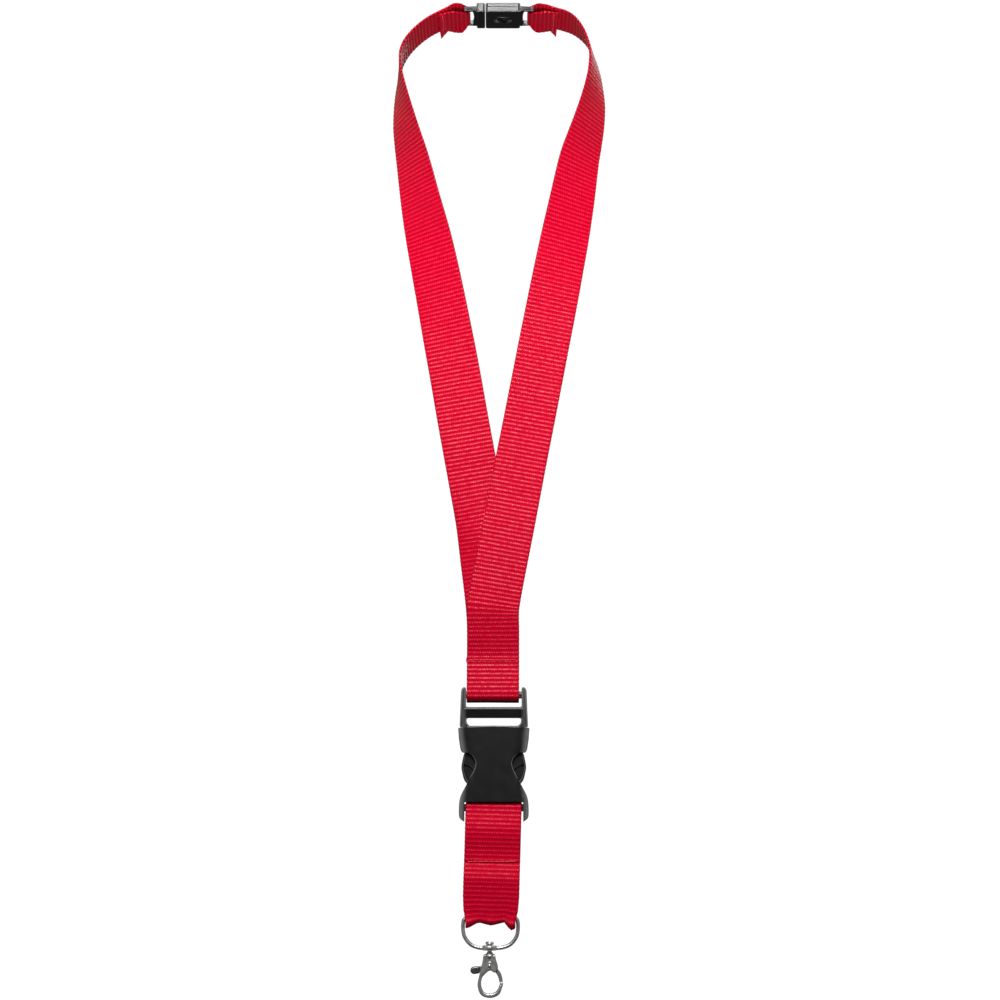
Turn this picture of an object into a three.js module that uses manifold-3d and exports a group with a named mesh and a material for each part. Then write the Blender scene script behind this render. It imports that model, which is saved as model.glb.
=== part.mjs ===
// A detachable-buckle neck lanyard of 25 mm ribbed webbing, hanging from the back of the neck.
// Millimetres. +Z is up, +X is to the wearer's left, and -Y faces the person looking at the wearer.
// The origin is where the back of the neck bears on the loop, just under the breakaway clip.
import * as THREE from "three";
import { mergeVertices } from "three/addons/utils/BufferGeometryUtils.js";
import Module from "manifold-3d";

const wasm = await Module();
wasm.setup();

// ---- Driving dimensions ----

const WEB_WIDTH = 25;
const WEB_THICK = 1.2;
const GAP = 0.3; // clearance between neighbouring pieces
const LAYER = WEB_THICK + GAP; // from one stacked layer of webbing to the next

// Breakaway clip behind the neck, lying along X with its broad faces up and down.
const CLIP = {
  z: 6, thick: 4.8, width: 21.4, partingX: -3.9, socketEnd: 13.5, plugEnd: -8.4,
  barZ: 5.8, barRadius: 0.9, leftBarX: -13.7, rightBarX: 19.3, railThick: 2.4, slot: 15.6,
};
const NARROW = 15; // webbing gathered into the clip's slots

// Join of the two straps above the side-release buckle.
const BUCKLE_X = 0.4;
const TOP_BAR = { z: -336, radius: 1.7 };
const SEAM_Z = -319.5;
const PIVOT = new THREE.Vector2(-5.5, -252.8); // (x, z) of the left strap's crease
const PIVOT_RADIUS = WEB_WIDTH / 2;
const CREASE_END = new THREE.Vector2(0, -300); // the left strap hangs straight from here

// Side-release buckle.
const FRAME = { depth: 4.4, railInner: 13.2, middleTop: -341.75, middleBottom: -346.9 };
const PRONG = { x: 11.6, z: -356, radius: 1.6, depth: 4 };
const HOUSING = { depth: 9, cavityHalf: 14.3, cavityDepth: 5.2, cavityEnd: -381 };
const LOWER_BAR = {
  z: -389, radius: 1.8, slotHalf: 13.9, slotTop: -386.3, slotEnd: -397, pocketTop: -385.3, pocketHalf: 3.6,
};

// Lower strap and D-ring.
const LOWER_SEAM_Z = -414;
const RING = { x: -1.1, z: -440, wire: 0.9, half: 12.3 };
const LOWER_WIDTH = 26.4; // the lower strap is cut from slightly wider webbing
const GATHERED = 21.6; // the lower strap's width where it folds inside the ring

// Swivel and trigger hook, about a vertical axis at SWIVEL_X.
const SWIVEL_X = -1.5;
const BOSS = { top: -452.4, bottom: -454.7, radius: 3.5, hole: 1.35 };
const RIVET = { headTop: -450.6, headBottom: -452.1, headRadius: 1.95, radius: 1, end: -456.5 };
const HOOK = { depth: 4, slot: 2.4, slotTop: -459.6, slotBottom: -466.2 };
const GATE = { z: -461.6, hole: 1, pin: 0.7, depth: 1, y: -0.35 };

// ---- Materials ----

function finish(color, roughness, metalness) {
  return new THREE.MeshStandardMaterial({ color, roughness, metalness });
}
const webbingRed = finish(0xc8102e, 0.8, 0);
const threadRed = finish(0xa80f26, 0.7, 0);
const plasticBlack = finish(0x1c1c1d, 0.45, 0);
const nickel = finish(0xb9bcc0, 0.25, 1);

// ---- Solids ----

function solidOf(geometry) {
  const bare = geometry.clone();
  bare.deleteAttribute("normal");
  bare.deleteAttribute("uv");
  const merged = mergeVertices(bare, 1e-4);
  const count = merged.attributes.position.count;
  const index = merged.index ? merged.index.array : [...Array(count).keys()];
  return new wasm.Manifold(
    new wasm.Mesh({
      numProp: 3,
      vertProperties: new Float32Array(merged.attributes.position.array),
      triVerts: new Uint32Array(index),
    }),
  );
}

function geometryOf(solid) {
  const mesh = solid.getMesh();
  const geometry = new THREE.BufferGeometry();
  geometry.setAttribute("position", new THREE.BufferAttribute(mesh.vertProperties, 3));
  geometry.setIndex(new THREE.BufferAttribute(mesh.triVerts, 1));
  geometry.computeVertexNormals();
  return geometry;
}

// Joins every geometry of `joined` and cuts every one of `removed` from the result.
function combine(joined, removed = []) {
  let solid = solidOf(joined[0]);
  for (const piece of joined.slice(1)) solid = solid.add(solidOf(piece));
  for (const piece of removed) solid = solid.subtract(solidOf(piece));
  return geometryOf(solid);
}

function block(x0, x1, y0, y1, z0, z1) {
  const box = new THREE.BoxGeometry(x1 - x0, y1 - y0, z1 - z0);
  return box.translate((x0 + x1) / 2, (y0 + y1) / 2, (z0 + z1) / 2);
}

// A round bar centred on a point, along the axis "x", "y" or "z".
function bar(axis, radius, length, x, y, z, sides = 16) {
  const rod = new THREE.CylinderGeometry(radius, radius, length, sides);
  if (axis === "x") rod.rotateZ(Math.PI / 2);
  if (axis === "z") rod.rotateX(Math.PI / 2);
  return rod.translate(x, y, z);
}

// A plate whose outline is drawn in (x, z), centred on y.
function plate(shape, depth, y = 0) {
  const body = new THREE.ExtrudeGeometry(shape, { depth, curveSegments: 6, bevelEnabled: false });
  return body.rotateX(Math.PI / 2).translate(0, y + depth / 2, 0);
}

// A closed outline from straight points and smoothed runs: each run is a list of [x, z].
function outline(runs) {
  const shape = new THREE.Shape();
  runs.forEach((run, i) => {
    const points = run.map(([x, z]) => new THREE.Vector2(x, z));
    if (i === 0) shape.moveTo(points[0].x, points[0].y);
    else if (!shape.currentPoint.equals(points[0])) shape.lineTo(points[0].x, points[0].y);
    if (points.length === 2) shape.lineTo(points[1].x, points[1].y);
    if (points.length > 2) shape.splineThru(points.slice(1));
  });
  shape.closePath();
  return shape;
}

function mirrored(runs) {
  return runs.map((run) => run.map(([x, z]) => [-x, z]).reverse()).reverse();
}

function shifted(runs, dx) {
  return runs.map((run) => run.map(([x, z]) => [x + dx, z]));
}

// ---- Webbing ----
// A strap follows rows of [x, y, z, turn, width]. At turn 0 its width lies along X and its face
// looks along Y. At turn 90 it stands on edge, with its +X edge brought round to the front.

function arcRows(centre, radius, from, to, steps, place, turn, width) {
  const rows = [];
  for (let i = 0; i <= steps; i++) {
    const angle = THREE.MathUtils.degToRad(from + ((to - from) * i) / steps);
    const across = centre[0] + radius * Math.cos(angle);
    const up = centre[1] + radius * Math.sin(angle);
    rows.push([...place(across, up), turn, width]);
  }
  return rows;
}

function strap(rows, stepsPerRow = 3) {
  const curve = new THREE.CatmullRomCurve3(rows.map(([x, y, z]) => new THREE.Vector3(x, y, z)));
  curve.curveType = "centripetal";
  const steps = (rows.length - 1) * stepsPerRow;
  const positions = [];
  for (let i = 0; i <= steps; i++) {
    const t = i / steps;
    const low = Math.min(Math.floor(t * (rows.length - 1)), rows.length - 2);
    const part = t * (rows.length - 1) - low;
    const turn = THREE.MathUtils.degToRad(THREE.MathUtils.lerp(rows[low][3], rows[low + 1][3], part));
    const half = THREE.MathUtils.lerp(rows[low][4], rows[low + 1][4], part) / 2;
    const tangent = curve.getTangent(t);
    const across = new THREE.Vector3(Math.cos(turn), -Math.sin(turn), 0);
    across.addScaledVector(tangent, -across.dot(tangent)).normalize();
    const face = new THREE.Vector3().crossVectors(tangent, across);
    for (const [u, v] of [[-1, -1], [1, -1], [1, 1], [-1, 1]]) {
      const corner = curve.getPoint(t);
      corner.addScaledVector(across, u * half);
      corner.addScaledVector(face, (v * WEB_THICK) / 2);
      positions.push(...corner.toArray());
    }
  }
  const index = [0, 2, 1, 0, 3, 2];
  for (let i = 0; i < steps; i++) {
    for (let k = 0; k < 4; k++) {
      const a = 4 * i + k;
      const b = 4 * i + ((k + 1) % 4);
      index.push(a, b, b + 4, a, b + 4, a + 4);
    }
  }
  const last = 4 * steps;
  index.push(last, last + 1, last + 2, last, last + 2, last + 3);
  const geometry = new THREE.BufferGeometry();
  geometry.setAttribute("position", new THREE.Float32BufferAttribute(positions, 3));
  geometry.setIndex(index);
  geometry.computeVertexNormals();
  return geometry;
}

const inXZ = (x, z) => [x, 0, z];
const atX = (x) => (y, z) => [x, y, z];

// The left strap: its sewn end, the bight round the plug's bar, the shoulder, and the long run
// down to the crease, where a half-round end lets it turn.
function leftStrapRows() {
  const bight = CLIP.barRadius + GAP + WEB_THICK / 2;
  const rows = [
    [-27.2, 0, 1.2, 90, WEB_WIDTH],
    [-23.5, 0, 2.3, 90, WEB_WIDTH],
    [-19.8, 0, 2.9, 90, WEB_WIDTH - 1],
    [-16.8, 0, 3.2, 90, WEB_WIDTH - 5],
    ...arcRows([CLIP.leftBarX, CLIP.barZ], bight, -90, 90, 4, inXZ, 90, NARROW),
    [-16.8, 0, 7.9, 90, WEB_WIDTH - 5],
    [-19.8, 0, 7.3, 90, WEB_WIDTH - 1],
    [-23, 0, 5.2, 90, WEB_WIDTH],
    [-27, 0, 3.1, 90, WEB_WIDTH],
    [-32, 0, 0.3, 90, WEB_WIDTH],
    [-36.8, 0, -3.4, 90, WEB_WIDTH],
    [-41, 0, -7.6, 90, WEB_WIDTH],
    [-44.4, 0, -12.4, 90, WEB_WIDTH],
    [-46.5, 0, -18, 89, WEB_WIDTH],
    [-47.1, 0, -26, 84, WEB_WIDTH],
    [-46.6, 0, -36, 75, WEB_WIDTH],
    [-44.9, 0, -49, 64, WEB_WIDTH],
    [-42.8, 0, -59.6, 57, WEB_WIDTH],
    [-40.5, 0, -70, 50, WEB_WIDTH],
    [-36.3, 0, -91, 38, WEB_WIDTH],
    [-31.8, 0, -111.4, 26, WEB_WIDTH],
    [-27.7, 0, -132, 18, WEB_WIDTH],
    [-23.8, 0, -152, 12, WEB_WIDTH],
    [-20.1, 0, -172, 6, WEB_WIDTH],
    [-16.5, 0, -192, 2, WEB_WIDTH],
    [-12.9, 0, -212, 0, WEB_WIDTH],
    [-9.2, 0, -232.4, 0, WEB_WIDTH],
    [PIVOT.x, 0, PIVOT.y, 0, WEB_WIDTH],
  ];
  const down = new THREE.Vector2(3.7, -20.4).normalize();
  for (const angle of [20, 38, 54, 68, 80]) {
    const beyond = PIVOT_RADIUS * Math.sin(THREE.MathUtils.degToRad(angle));
    const width = WEB_WIDTH * Math.cos(THREE.MathUtils.degToRad(angle));
    rows.push([PIVOT.x + down.x * beyond, 0, PIVOT.y + down.y * beyond, 0, width]);
  }
  return rows;
}

// The right strap: its sewn end at the back of the join, the loop round the buckle's top bar, the
// front of the join, the run up over the shoulder, and the bight round the socket's bar.
function rightStrapRows() {
  const loop = TOP_BAR.radius + GAP + WEB_THICK / 2;
  const bight = CLIP.barRadius + GAP + WEB_THICK / 2;
  return [
    [0, LAYER, -315, 0, WEB_WIDTH],
    [0, LAYER, -321, 0, WEB_WIDTH],
    [0, LAYER + 0.7, -328, 0, WEB_WIDTH],
    ...arcRows([0, TOP_BAR.z], loop, 0, -180, 6, atX(0), 0, WEB_WIDTH),
    [0, -LAYER - 0.7, -328, 0, WEB_WIDTH],
    [0, -LAYER, -321, 0, WEB_WIDTH],
    [0, -LAYER, -317, 0, WEB_WIDTH],
    [0, -LAYER - 1.9, -306, 0, WEB_WIDTH],
    [0, -LAYER - 3.6, -296, 0, WEB_WIDTH],
    [0.8, -LAYER - 3.6, -290, 0, WEB_WIDTH],
    [3.9, -LAYER - 2.8, -273, 0, WEB_WIDTH],
    [7.8, -LAYER - 1.8, -253, 0, WEB_WIDTH],
    [11.7, -LAYER - 0.8, -233, 0, WEB_WIDTH],
    [15.6, -LAYER, -212.5, 0, WEB_WIDTH],
    [19.5, -LAYER, -192, 0, WEB_WIDTH],
    [23.4, -1.3, -172, -2, WEB_WIDTH],
    [27.3, -1, -152, -5, WEB_WIDTH],
    [31.2, -0.8, -132, -10, WEB_WIDTH],
    [35.2, -0.5, -111.4, -17, WEB_WIDTH],
    [39.1, -0.3, -91, -27, WEB_WIDTH],
    [43.1, 0, -70, -38, WEB_WIDTH],
    [45.8, 0, -59.6, -45, WEB_WIDTH],
    [48.4, 0, -49, -53, WEB_WIDTH],
    [50.4, 0, -38, -62, WEB_WIDTH],
    [51.1, 0, -28, -71, WEB_WIDTH],
    [50.6, 0, -19, -77, WEB_WIDTH],
    [49, 0, -12, -80, WEB_WIDTH],
    [46.8, 0, -6.6, -81, WEB_WIDTH],
    [43.8, 0, -2.2, -83, WEB_WIDTH],
    [40, 0, 1.3, -86, WEB_WIDTH],
    [35.8, 0, 3.4, -90, WEB_WIDTH],
    [31.5, 0, 4.7, -90, WEB_WIDTH],
    [26.5, 0, 6.5, -90, WEB_WIDTH - 1],
    [22.6, 0, 7.8, -90, WEB_WIDTH - 5],
    ...arcRows([CLIP.rightBarX, CLIP.barZ], bight, 90, 270, 4, inXZ, -90, NARROW),
    [22.6, 0, 3.2, -90, WEB_WIDTH - 5],
    [25.8, 0, 3, -90, WEB_WIDTH - 1],
    [29.2, 0, 2.6, -90, WEB_WIDTH],
    [32.4, 0, 2.1, -90, WEB_WIDTH],
  ];
}

// The left strap's sewn end: flat, from a hollow round the pivot down to just below the seam.
function leftStrapEnd() {
  const down = CREASE_END.clone().sub(PIVOT).normalize();
  const right = new THREE.Vector2(-down.y, down.x);
  const reach = PIVOT_RADIUS + GAP;
  const hornDrop = 6;
  const at = (along, across) =>
    PIVOT.clone().addScaledVector(down, along).addScaledVector(right, across);
  const half = WEB_WIDTH / 2;
  const hornInner = Math.sqrt(reach ** 2 - hornDrop ** 2);
  const leftHorn = at(hornDrop, -half);
  const rightHorn = at(hornDrop, half);
  const arcFrom = at(hornDrop, hornInner).sub(PIVOT).angle();
  const arcTo = at(hornDrop, -hornInner).sub(PIVOT).angle();
  const shape = new THREE.Shape();
  shape.moveTo(leftHorn.x, leftHorn.y);
  shape.lineTo(-half, CREASE_END.y);
  shape.lineTo(-half, SEAM_Z - 2);
  shape.lineTo(half, SEAM_Z - 2);
  shape.lineTo(half, CREASE_END.y);
  shape.lineTo(rightHorn.x, rightHorn.y);
  shape.absarc(PIVOT.x, PIVOT.y, reach, arcFrom, arcTo, true);
  shape.closePath();
  return plate(shape, WEB_THICK);
}

// The lower strap: a band closed on itself round the housing's bar and the D-ring, its ends
// overlapped and sewn at the front. It leans a little to the left on its way down.
function lowerStrapRows() {
  const lean = (RING.x - BUCKLE_X) / (RING.z - LOWER_BAR.z);
  const xAt = (z) => BUCKLE_X + lean * (z - LOWER_BAR.z);
  const row = (y, z, width = LOWER_WIDTH) => [xAt(z), y, z, 0, width];
  const place = (y, z) => [xAt(z), y, z];
  const top = LOWER_BAR.radius + GAP + WEB_THICK / 2;
  const bottom = RING.wire + GAP + WEB_THICK / 2;
  const inner = LAYER / 2;
  return [
    row(-inner - LAYER, LOWER_SEAM_Z - 3),
    row(-inner - LAYER, LOWER_SEAM_Z + 3),
    row(-inner - LAYER - 0.5, -399),
    ...arcRows([0, LOWER_BAR.z], top, 180, 0, 6, place, 0, LOWER_WIDTH),
    row(2.1, -399),
    row(inner + 0.3, -412),
    row(inner + 0.2, -423),
    row(1.2, -430),
    row(1.6, -436, GATHERED + 1.5),
    ...arcRows([0, RING.z], bottom, 0, -180, 6, place, 0, GATHERED),
    row(-1.6, -436, GATHERED + 1.5),
    row(-1.2, -430),
    row(-inner - 0.1, -423),
    row(-inner, LOWER_SEAM_Z),
    row(-inner, LOWER_SEAM_Z + 4.5),
  ];
}

// ---- Breakaway clip ----

function clipOutline(x0, x1, half, corner) {
  return outline([
    [[x0, -half + corner], [x0 + 0.3 * corner, -half + 0.3 * corner], [x0 + corner, -half]],
    [[x1 - corner, -half], [x1 - 0.3 * corner, -half + 0.3 * corner], [x1, -half + corner]],
    [[x1, half - corner], [x1 - 0.3 * corner, half - 0.3 * corner], [x1 - corner, half]],
    [[x0 + corner, half], [x0 + 0.3 * corner, half - 0.3 * corner], [x0, half - corner]],
  ]);
}

// A flat block of the clip: its outline is drawn in (x, y) and it is centred on the clip's height.
function clipBlock(x0, x1, corner) {
  const body = new THREE.ExtrudeGeometry(clipOutline(x0, x1, CLIP.width / 2, corner), {
    depth: CLIP.thick - 1,
    curveSegments: 3,
    bevelThickness: 0.5,
    bevelSize: 0.5,
    bevelOffset: -0.5,
    bevelSegments: 1,
  });
  return body.translate(0, 0, CLIP.z - CLIP.thick / 2 + 0.5);
}

// The loop at one end of the clip: a web against the body, two side rails and the round bar that
// the webbing wraps.
function clipLoop(bodyX, barX) {
  const outward = Math.sign(barX - bodyX);
  const inner = CLIP.slot / 2;
  const outer = CLIP.width / 2 - 0.4;
  const far = barX + outward * CLIP.barRadius;
  const x0 = Math.min(bodyX - outward, far);
  const x1 = Math.max(bodyX - outward, far);
  const z0 = CLIP.barZ - CLIP.railThick / 2;
  const z1 = CLIP.barZ + CLIP.railThick / 2;
  const webStart = Math.min(bodyX - outward, bodyX + 2 * outward);
  return [
    block(webStart, webStart + 3, -outer + 0.8, outer - 0.8, z0, z1),
    block(x0, x1, -outer, -inner, z0, z1),
    block(x0, x1, inner, outer, z0, z1),
    bar("y", CLIP.barRadius, 2 * outer - 1, barX, 0, CLIP.barZ, 12),
  ];
}

const TONGUE = { half: 6, thick: 1.2, end: 9.2, windowX: 4.8, windowHalfX: 4.8, windowHalfY: 3.9 };

function ovalRod(halfX, halfY, z0, z1) {
  const rod = bar("z", 1, z1 - z0, 0, 0, (z0 + z1) / 2, 20);
  return rod.scale(halfX, halfY, 1).translate(TONGUE.windowX, 0, 0);
}

function breakawaySocket() {
  const bottom = CLIP.z - CLIP.thick / 2;
  const mouth = TONGUE.thick / 2 + GAP;
  return combine(
    [clipBlock(CLIP.partingX, CLIP.socketEnd, 1.6), ...clipLoop(CLIP.socketEnd, CLIP.rightBarX)],
    [
      block(CLIP.partingX - 1, TONGUE.end + 1, -TONGUE.half - GAP, TONGUE.half + GAP,
        CLIP.z - mouth, CLIP.z + mouth),
      ovalRod(TONGUE.windowHalfX, TONGUE.windowHalfY, bottom - 1, CLIP.z),
    ],
  );
}

function breakawayPlug() {
  const end = CLIP.partingX - GAP;
  return combine([clipBlock(CLIP.plugEnd, end, 1.2), ...clipLoop(CLIP.plugEnd, CLIP.leftBarX)]);
}

// The plug's springy tongue, with the oval catch that snaps into the socket's window.
function breakawayTongue() {
  const catchBottom = CLIP.z - CLIP.thick / 2 + 0.4;
  return combine([
    block(CLIP.partingX, TONGUE.end, -TONGUE.half, TONGUE.half,
      CLIP.z - TONGUE.thick / 2, CLIP.z + TONGUE.thick / 2),
    ovalRod(TONGUE.windowHalfX - 1.2, TONGUE.windowHalfY - 1, catchBottom, CLIP.z),
  ]);
}

// ---- Side-release buckle ----

function buckleFrame() {
  const inner = FRAME.railInner;
  const rightHalf = [
    [[inner, FRAME.middleTop], [inner, -332.9]],
    [[inner + 0.5, -332.3], [14.5, -332.4], [15.3, -333.3], [15.6, -334.6]],
    [[16.2, -350.7], [15.8, -351.2]],
    [[13.9, -351.0], [13.9, -354]],
    [[4, -354], [3, -355.5]],
    [[2.4, -371], [0, -373]],
  ];
  const runs = [...rightHalf, ...mirrored(rightHalf)];
  const shape = outline(shifted(runs, BUCKLE_X));
  const slotHalf = inner - 1;
  const slot = [
    [[slotHalf, FRAME.middleBottom - 0.4], [slotHalf, -349.6]],
    [[slotHalf - 0.9, -350.6], [-slotHalf + 0.9, -350.6]],
    [[-slotHalf, -349.6], [-slotHalf, FRAME.middleBottom - 0.4]],
    [[-slotHalf + 0.5, FRAME.middleBottom], [slotHalf - 0.5, FRAME.middleBottom]],
  ];
  const slotCut = plate(outline(shifted(slot, BUCKLE_X)), FRAME.depth + 2);
  const crossBar = bar("x", TOP_BAR.radius, 2 * inner + 2, BUCKLE_X, 0, TOP_BAR.z, 14);
  return combine([plate(shape, FRAME.depth), crossBar], [slotCut]);
}

// One flexing arm with the finger pad that shows in the housing's side window.
function buckleProng(side) {
  const runs = [
    [[PRONG.x - PRONG.radius, PRONG.z], [PRONG.x - 1.1, PRONG.z + 1.1],
      [PRONG.x, PRONG.z + PRONG.radius], [PRONG.x + 1.1, PRONG.z + 1.1],
      [PRONG.x + PRONG.radius, PRONG.z]],
    [[13.2, -362.6], [13.6, -363.6]],
    [[14.2, -364.4], [15.2, -369.6], [14.9, -372.6], [14, -375.9], [12.4, -378], [11.2, -377.3]],
    [[9, -373.5], [8, -369], [8.6, -365.2], [PRONG.x - PRONG.radius, -360]],
  ];
  const turned = side > 0 ? runs : mirrored(runs);
  return plate(outline(shifted(turned, BUCKLE_X)), PRONG.depth);
}

function buckleHousing() {
  const rightHalf = [
    [[0, -350.7], [8.5, -350.9], [16.9, -351.7]],
    [[16.5, -357], [15.9, -361], [15.2, -362.8], [13.9, -363.2]],
    [[12, -363.5], [10, -365.1], [8.8, -367.3], [8.6, -368.7], [9.3, -371.4], [10.7, -374.1]],
    [[12.6, -377.9], [14.7, -381.7], [15.7, -383.9], [16.3, -387.1], [16.4, -392], [15.8, -394.2],
      [13.4, -395.8]],
  ];
  const runs = [...rightHalf, ...mirrored(rightHalf)];
  const shell = plate(outline(shifted(runs, BUCKLE_X)), HOUSING.depth);
  const cavity = block(
    BUCKLE_X - HOUSING.cavityHalf, BUCKLE_X + HOUSING.cavityHalf,
    -HOUSING.cavityDepth / 2, HOUSING.cavityDepth / 2,
    HOUSING.cavityEnd, -349,
  );
  const strapSlot = block(
    BUCKLE_X - LOWER_BAR.slotHalf, BUCKLE_X + LOWER_BAR.slotHalf,
    -HOUSING.depth, HOUSING.depth, LOWER_BAR.slotEnd, LOWER_BAR.slotTop,
  );
  const pocket = block(
    BUCKLE_X - LOWER_BAR.slotHalf, BUCKLE_X + LOWER_BAR.slotHalf,
    -LOWER_BAR.pocketHalf, LOWER_BAR.pocketHalf, LOWER_BAR.slotTop - 1, LOWER_BAR.pocketTop,
  );
  const length = 2 * LOWER_BAR.slotHalf + 2;
  const opened = combine([shell], [cavity, strapSlot, pocket]);
  return combine([opened, bar("x", LOWER_BAR.radius, length, BUCKLE_X, 0, LOWER_BAR.z, 14)]);
}

// ---- D-ring, swivel and trigger hook ----

function circle(radius, sides) {
  const points = [];
  for (let i = 0; i < sides; i++) {
    const angle = (2 * Math.PI * i) / sides;
    points.push(new THREE.Vector2(radius * Math.cos(angle), radius * Math.sin(angle)));
  }
  return new THREE.Shape(points);
}

function ring() {
  const half = RING.half;
  const bow = [
    [-half, RING.z + 0.4], [-half - 0.1, -446], [-half + 0.8, -449.4], [-half + 3.6, -452.3], [-5, -453.5],
  ];
  const points = [...bow, [0, -453.6], ...bow.map(([x, z]) => [-x, z]).reverse()];
  const path = new THREE.CatmullRomCurve3(
    points.map(([x, z]) => new THREE.Vector3(RING.x + x, 0, z)),
  );
  const tube = new THREE.ExtrudeGeometry(circle(RING.wire, 10), { steps: 32, extrudePath: path });
  const cross = bar("x", RING.wire, 2 * half, RING.x, 0, RING.z, 12);
  const height = BOSS.top - BOSS.bottom;
  const middle = (BOSS.top + BOSS.bottom) / 2;
  return combine(
    [tube, cross, bar("z", BOSS.radius, height, SWIVEL_X, 0, middle, 24)],
    [bar("z", BOSS.hole, height + 2, SWIVEL_X, 0, middle, 16)],
  );
}

// A headed pin through the ring's boss, turned about its own axis.
function swivelRivet() {
  const profile = [
    [0, RIVET.end], [RIVET.radius, RIVET.end], [RIVET.radius, RIVET.headBottom],
    [RIVET.headRadius, RIVET.headBottom], [RIVET.headRadius, RIVET.headTop - 0.5],
    [RIVET.headRadius - 0.6, RIVET.headTop], [0, RIVET.headTop],
  ].map(([r, z]) => new THREE.Vector2(r, z));
  const body = new THREE.LatheGeometry(profile, 20);
  return body.rotateX(Math.PI / 2).translate(SWIVEL_X, 0, 0);
}

function hookBody() {
  const runs = [
    [[-3, -456.8], [-3.4, -459.5], [-4, -463], [-4.9, -466.4], [-5.6, -470.4],
      [-4.4, -474.3], [-1.6, -476], [1.8, -476], [4.7, -474.3], [6, -471]],
    [[5.6, -470.1], [4.5, -470.3]],
    [[4.1, -471.8], [2.9, -473.4], [1.3, -474.2]],
    [[-1.3, -474.2], [-2.9, -473.2], [-3.9, -470.4], [-3.5, -467.2], [-1.8, -465.1],
      [0.3, -463.9], [2.2, -464.8]],
    [[3.9, -463.6], [3.8, -461.4], [3, -459], [2.7, -456.8]],
  ];
  const slotRoom = block(-12, 12, -HOOK.slot / 2, HOOK.slot / 2, HOOK.slotBottom, HOOK.slotTop);
  const pinHole = bar("y", GATE.hole, HOOK.depth + 2, SWIVEL_X, 0, GATE.z, 14);
  return combine([plate(outline(shifted(runs, SWIVEL_X)), HOOK.depth)], [slotRoom, pinHole]);
}

// The gate and its thumb lever, one piece that rocks on the pin.
function hookGate() {
  const runs = [
    [[-1.2, -460.2], [0, -459.8], [1.4, -460.3], [3, -462.2], [4.8, -464.4], [5.8, -467], [6, -469.1]],
    [[4.5, -469.1], [3.9, -466.6], [2.6, -464.6], [1, -463.4], [-1.4, -463.5]],
    [[-5, -465.1], [-7.4, -465.5], [-8.8, -464.4], [-8.7, -462.8], [-7.4, -462], [-5, -462]],
  ];
  const shape = outline(shifted(runs, SWIVEL_X));
  const hole = bar("y", GATE.hole, HOOK.depth, SWIVEL_X, 0, GATE.z, 14);
  return combine([plate(shape, GATE.depth, GATE.y)], [hole]);
}

function gateSpring() {
  const profile = [[1.05, 0.45], [1.55, 0.45], [1.55, 0.85], [1.05, 0.85], [1.05, 0.45]];
  const coil = new THREE.LatheGeometry(profile.map(([r, y]) => new THREE.Vector2(r, y)), 14);
  return coil.translate(SWIVEL_X, 0, GATE.z);
}

// ---- Assembly ----

const lanyard = new THREE.Group();

function add(name, geometry, material) {
  const mesh = new THREE.Mesh(geometry, material);
  mesh.name = name;
  lanyard.add(mesh);
}

add("right_neck_strap", strap(rightStrapRows()), webbingRed);
add("left_neck_strap", strap(leftStrapRows()), webbingRed);
add("left_strap_end", leftStrapEnd(), webbingRed);

const SEAM_HALF = 11.5;
const THREAD = 0.3;
const joinFace = -LAYER - WEB_THICK / 2 - GAP;
add("join_stitching",
  block(-SEAM_HALF, SEAM_HALF, joinFace - THREAD, joinFace, SEAM_Z - 0.4, SEAM_Z + 0.4), threadRed);
add("left_clip_stitching",
  block(-26.4, -25.6, -SEAM_HALF, SEAM_HALF, 0.1, 0.1 + THREAD), threadRed);
add("right_clip_stitching",
  block(30.6, 31.4, -SEAM_HALF, SEAM_HALF, 1, 1 + THREAD), threadRed);

add("breakaway_socket", breakawaySocket(), plasticBlack);
add("breakaway_plug", breakawayPlug(), plasticBlack);
add("breakaway_tongue", breakawayTongue(), plasticBlack);

add("buckle_frame", buckleFrame(), plasticBlack);
add("buckle_prong_left", buckleProng(-1), plasticBlack);
add("buckle_prong_right", buckleProng(1), plasticBlack);
add("buckle_housing", buckleHousing(), plasticBlack);

add("lower_strap", strap(lowerStrapRows()), webbingRed);
const lowerFace = -1.5 * LAYER - WEB_THICK / 2 - GAP;
add("lower_strap_stitching",
  block(-SEAM_HALF, SEAM_HALF, lowerFace - THREAD, lowerFace, LOWER_SEAM_Z - 0.4, LOWER_SEAM_Z + 0.4),
  threadRed);

add("d_ring", ring(), nickel);
add("swivel_rivet", swivelRivet(), nickel);
add("hook_body", hookBody(), nickel);
add("hook_gate", hookGate(), nickel);
add("gate_pin", bar("y", GATE.pin, HOOK.depth + 0.2, SWIVEL_X, 0, GATE.z, 14), nickel);
add("gate_spring", gateSpring(), nickel);

export default lanyard;
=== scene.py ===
"""The lanyard's looks: ribbed webbing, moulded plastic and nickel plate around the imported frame.

Sizes are millimetres, turned into metres where a mesh is made. The axes and the origin are the
part's own: +Z up, -Y towards the viewer, and the origin under the breakaway clip.
"""
import math

import bmesh
import bpy
import numpy as np
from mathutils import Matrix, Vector, noise


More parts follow.
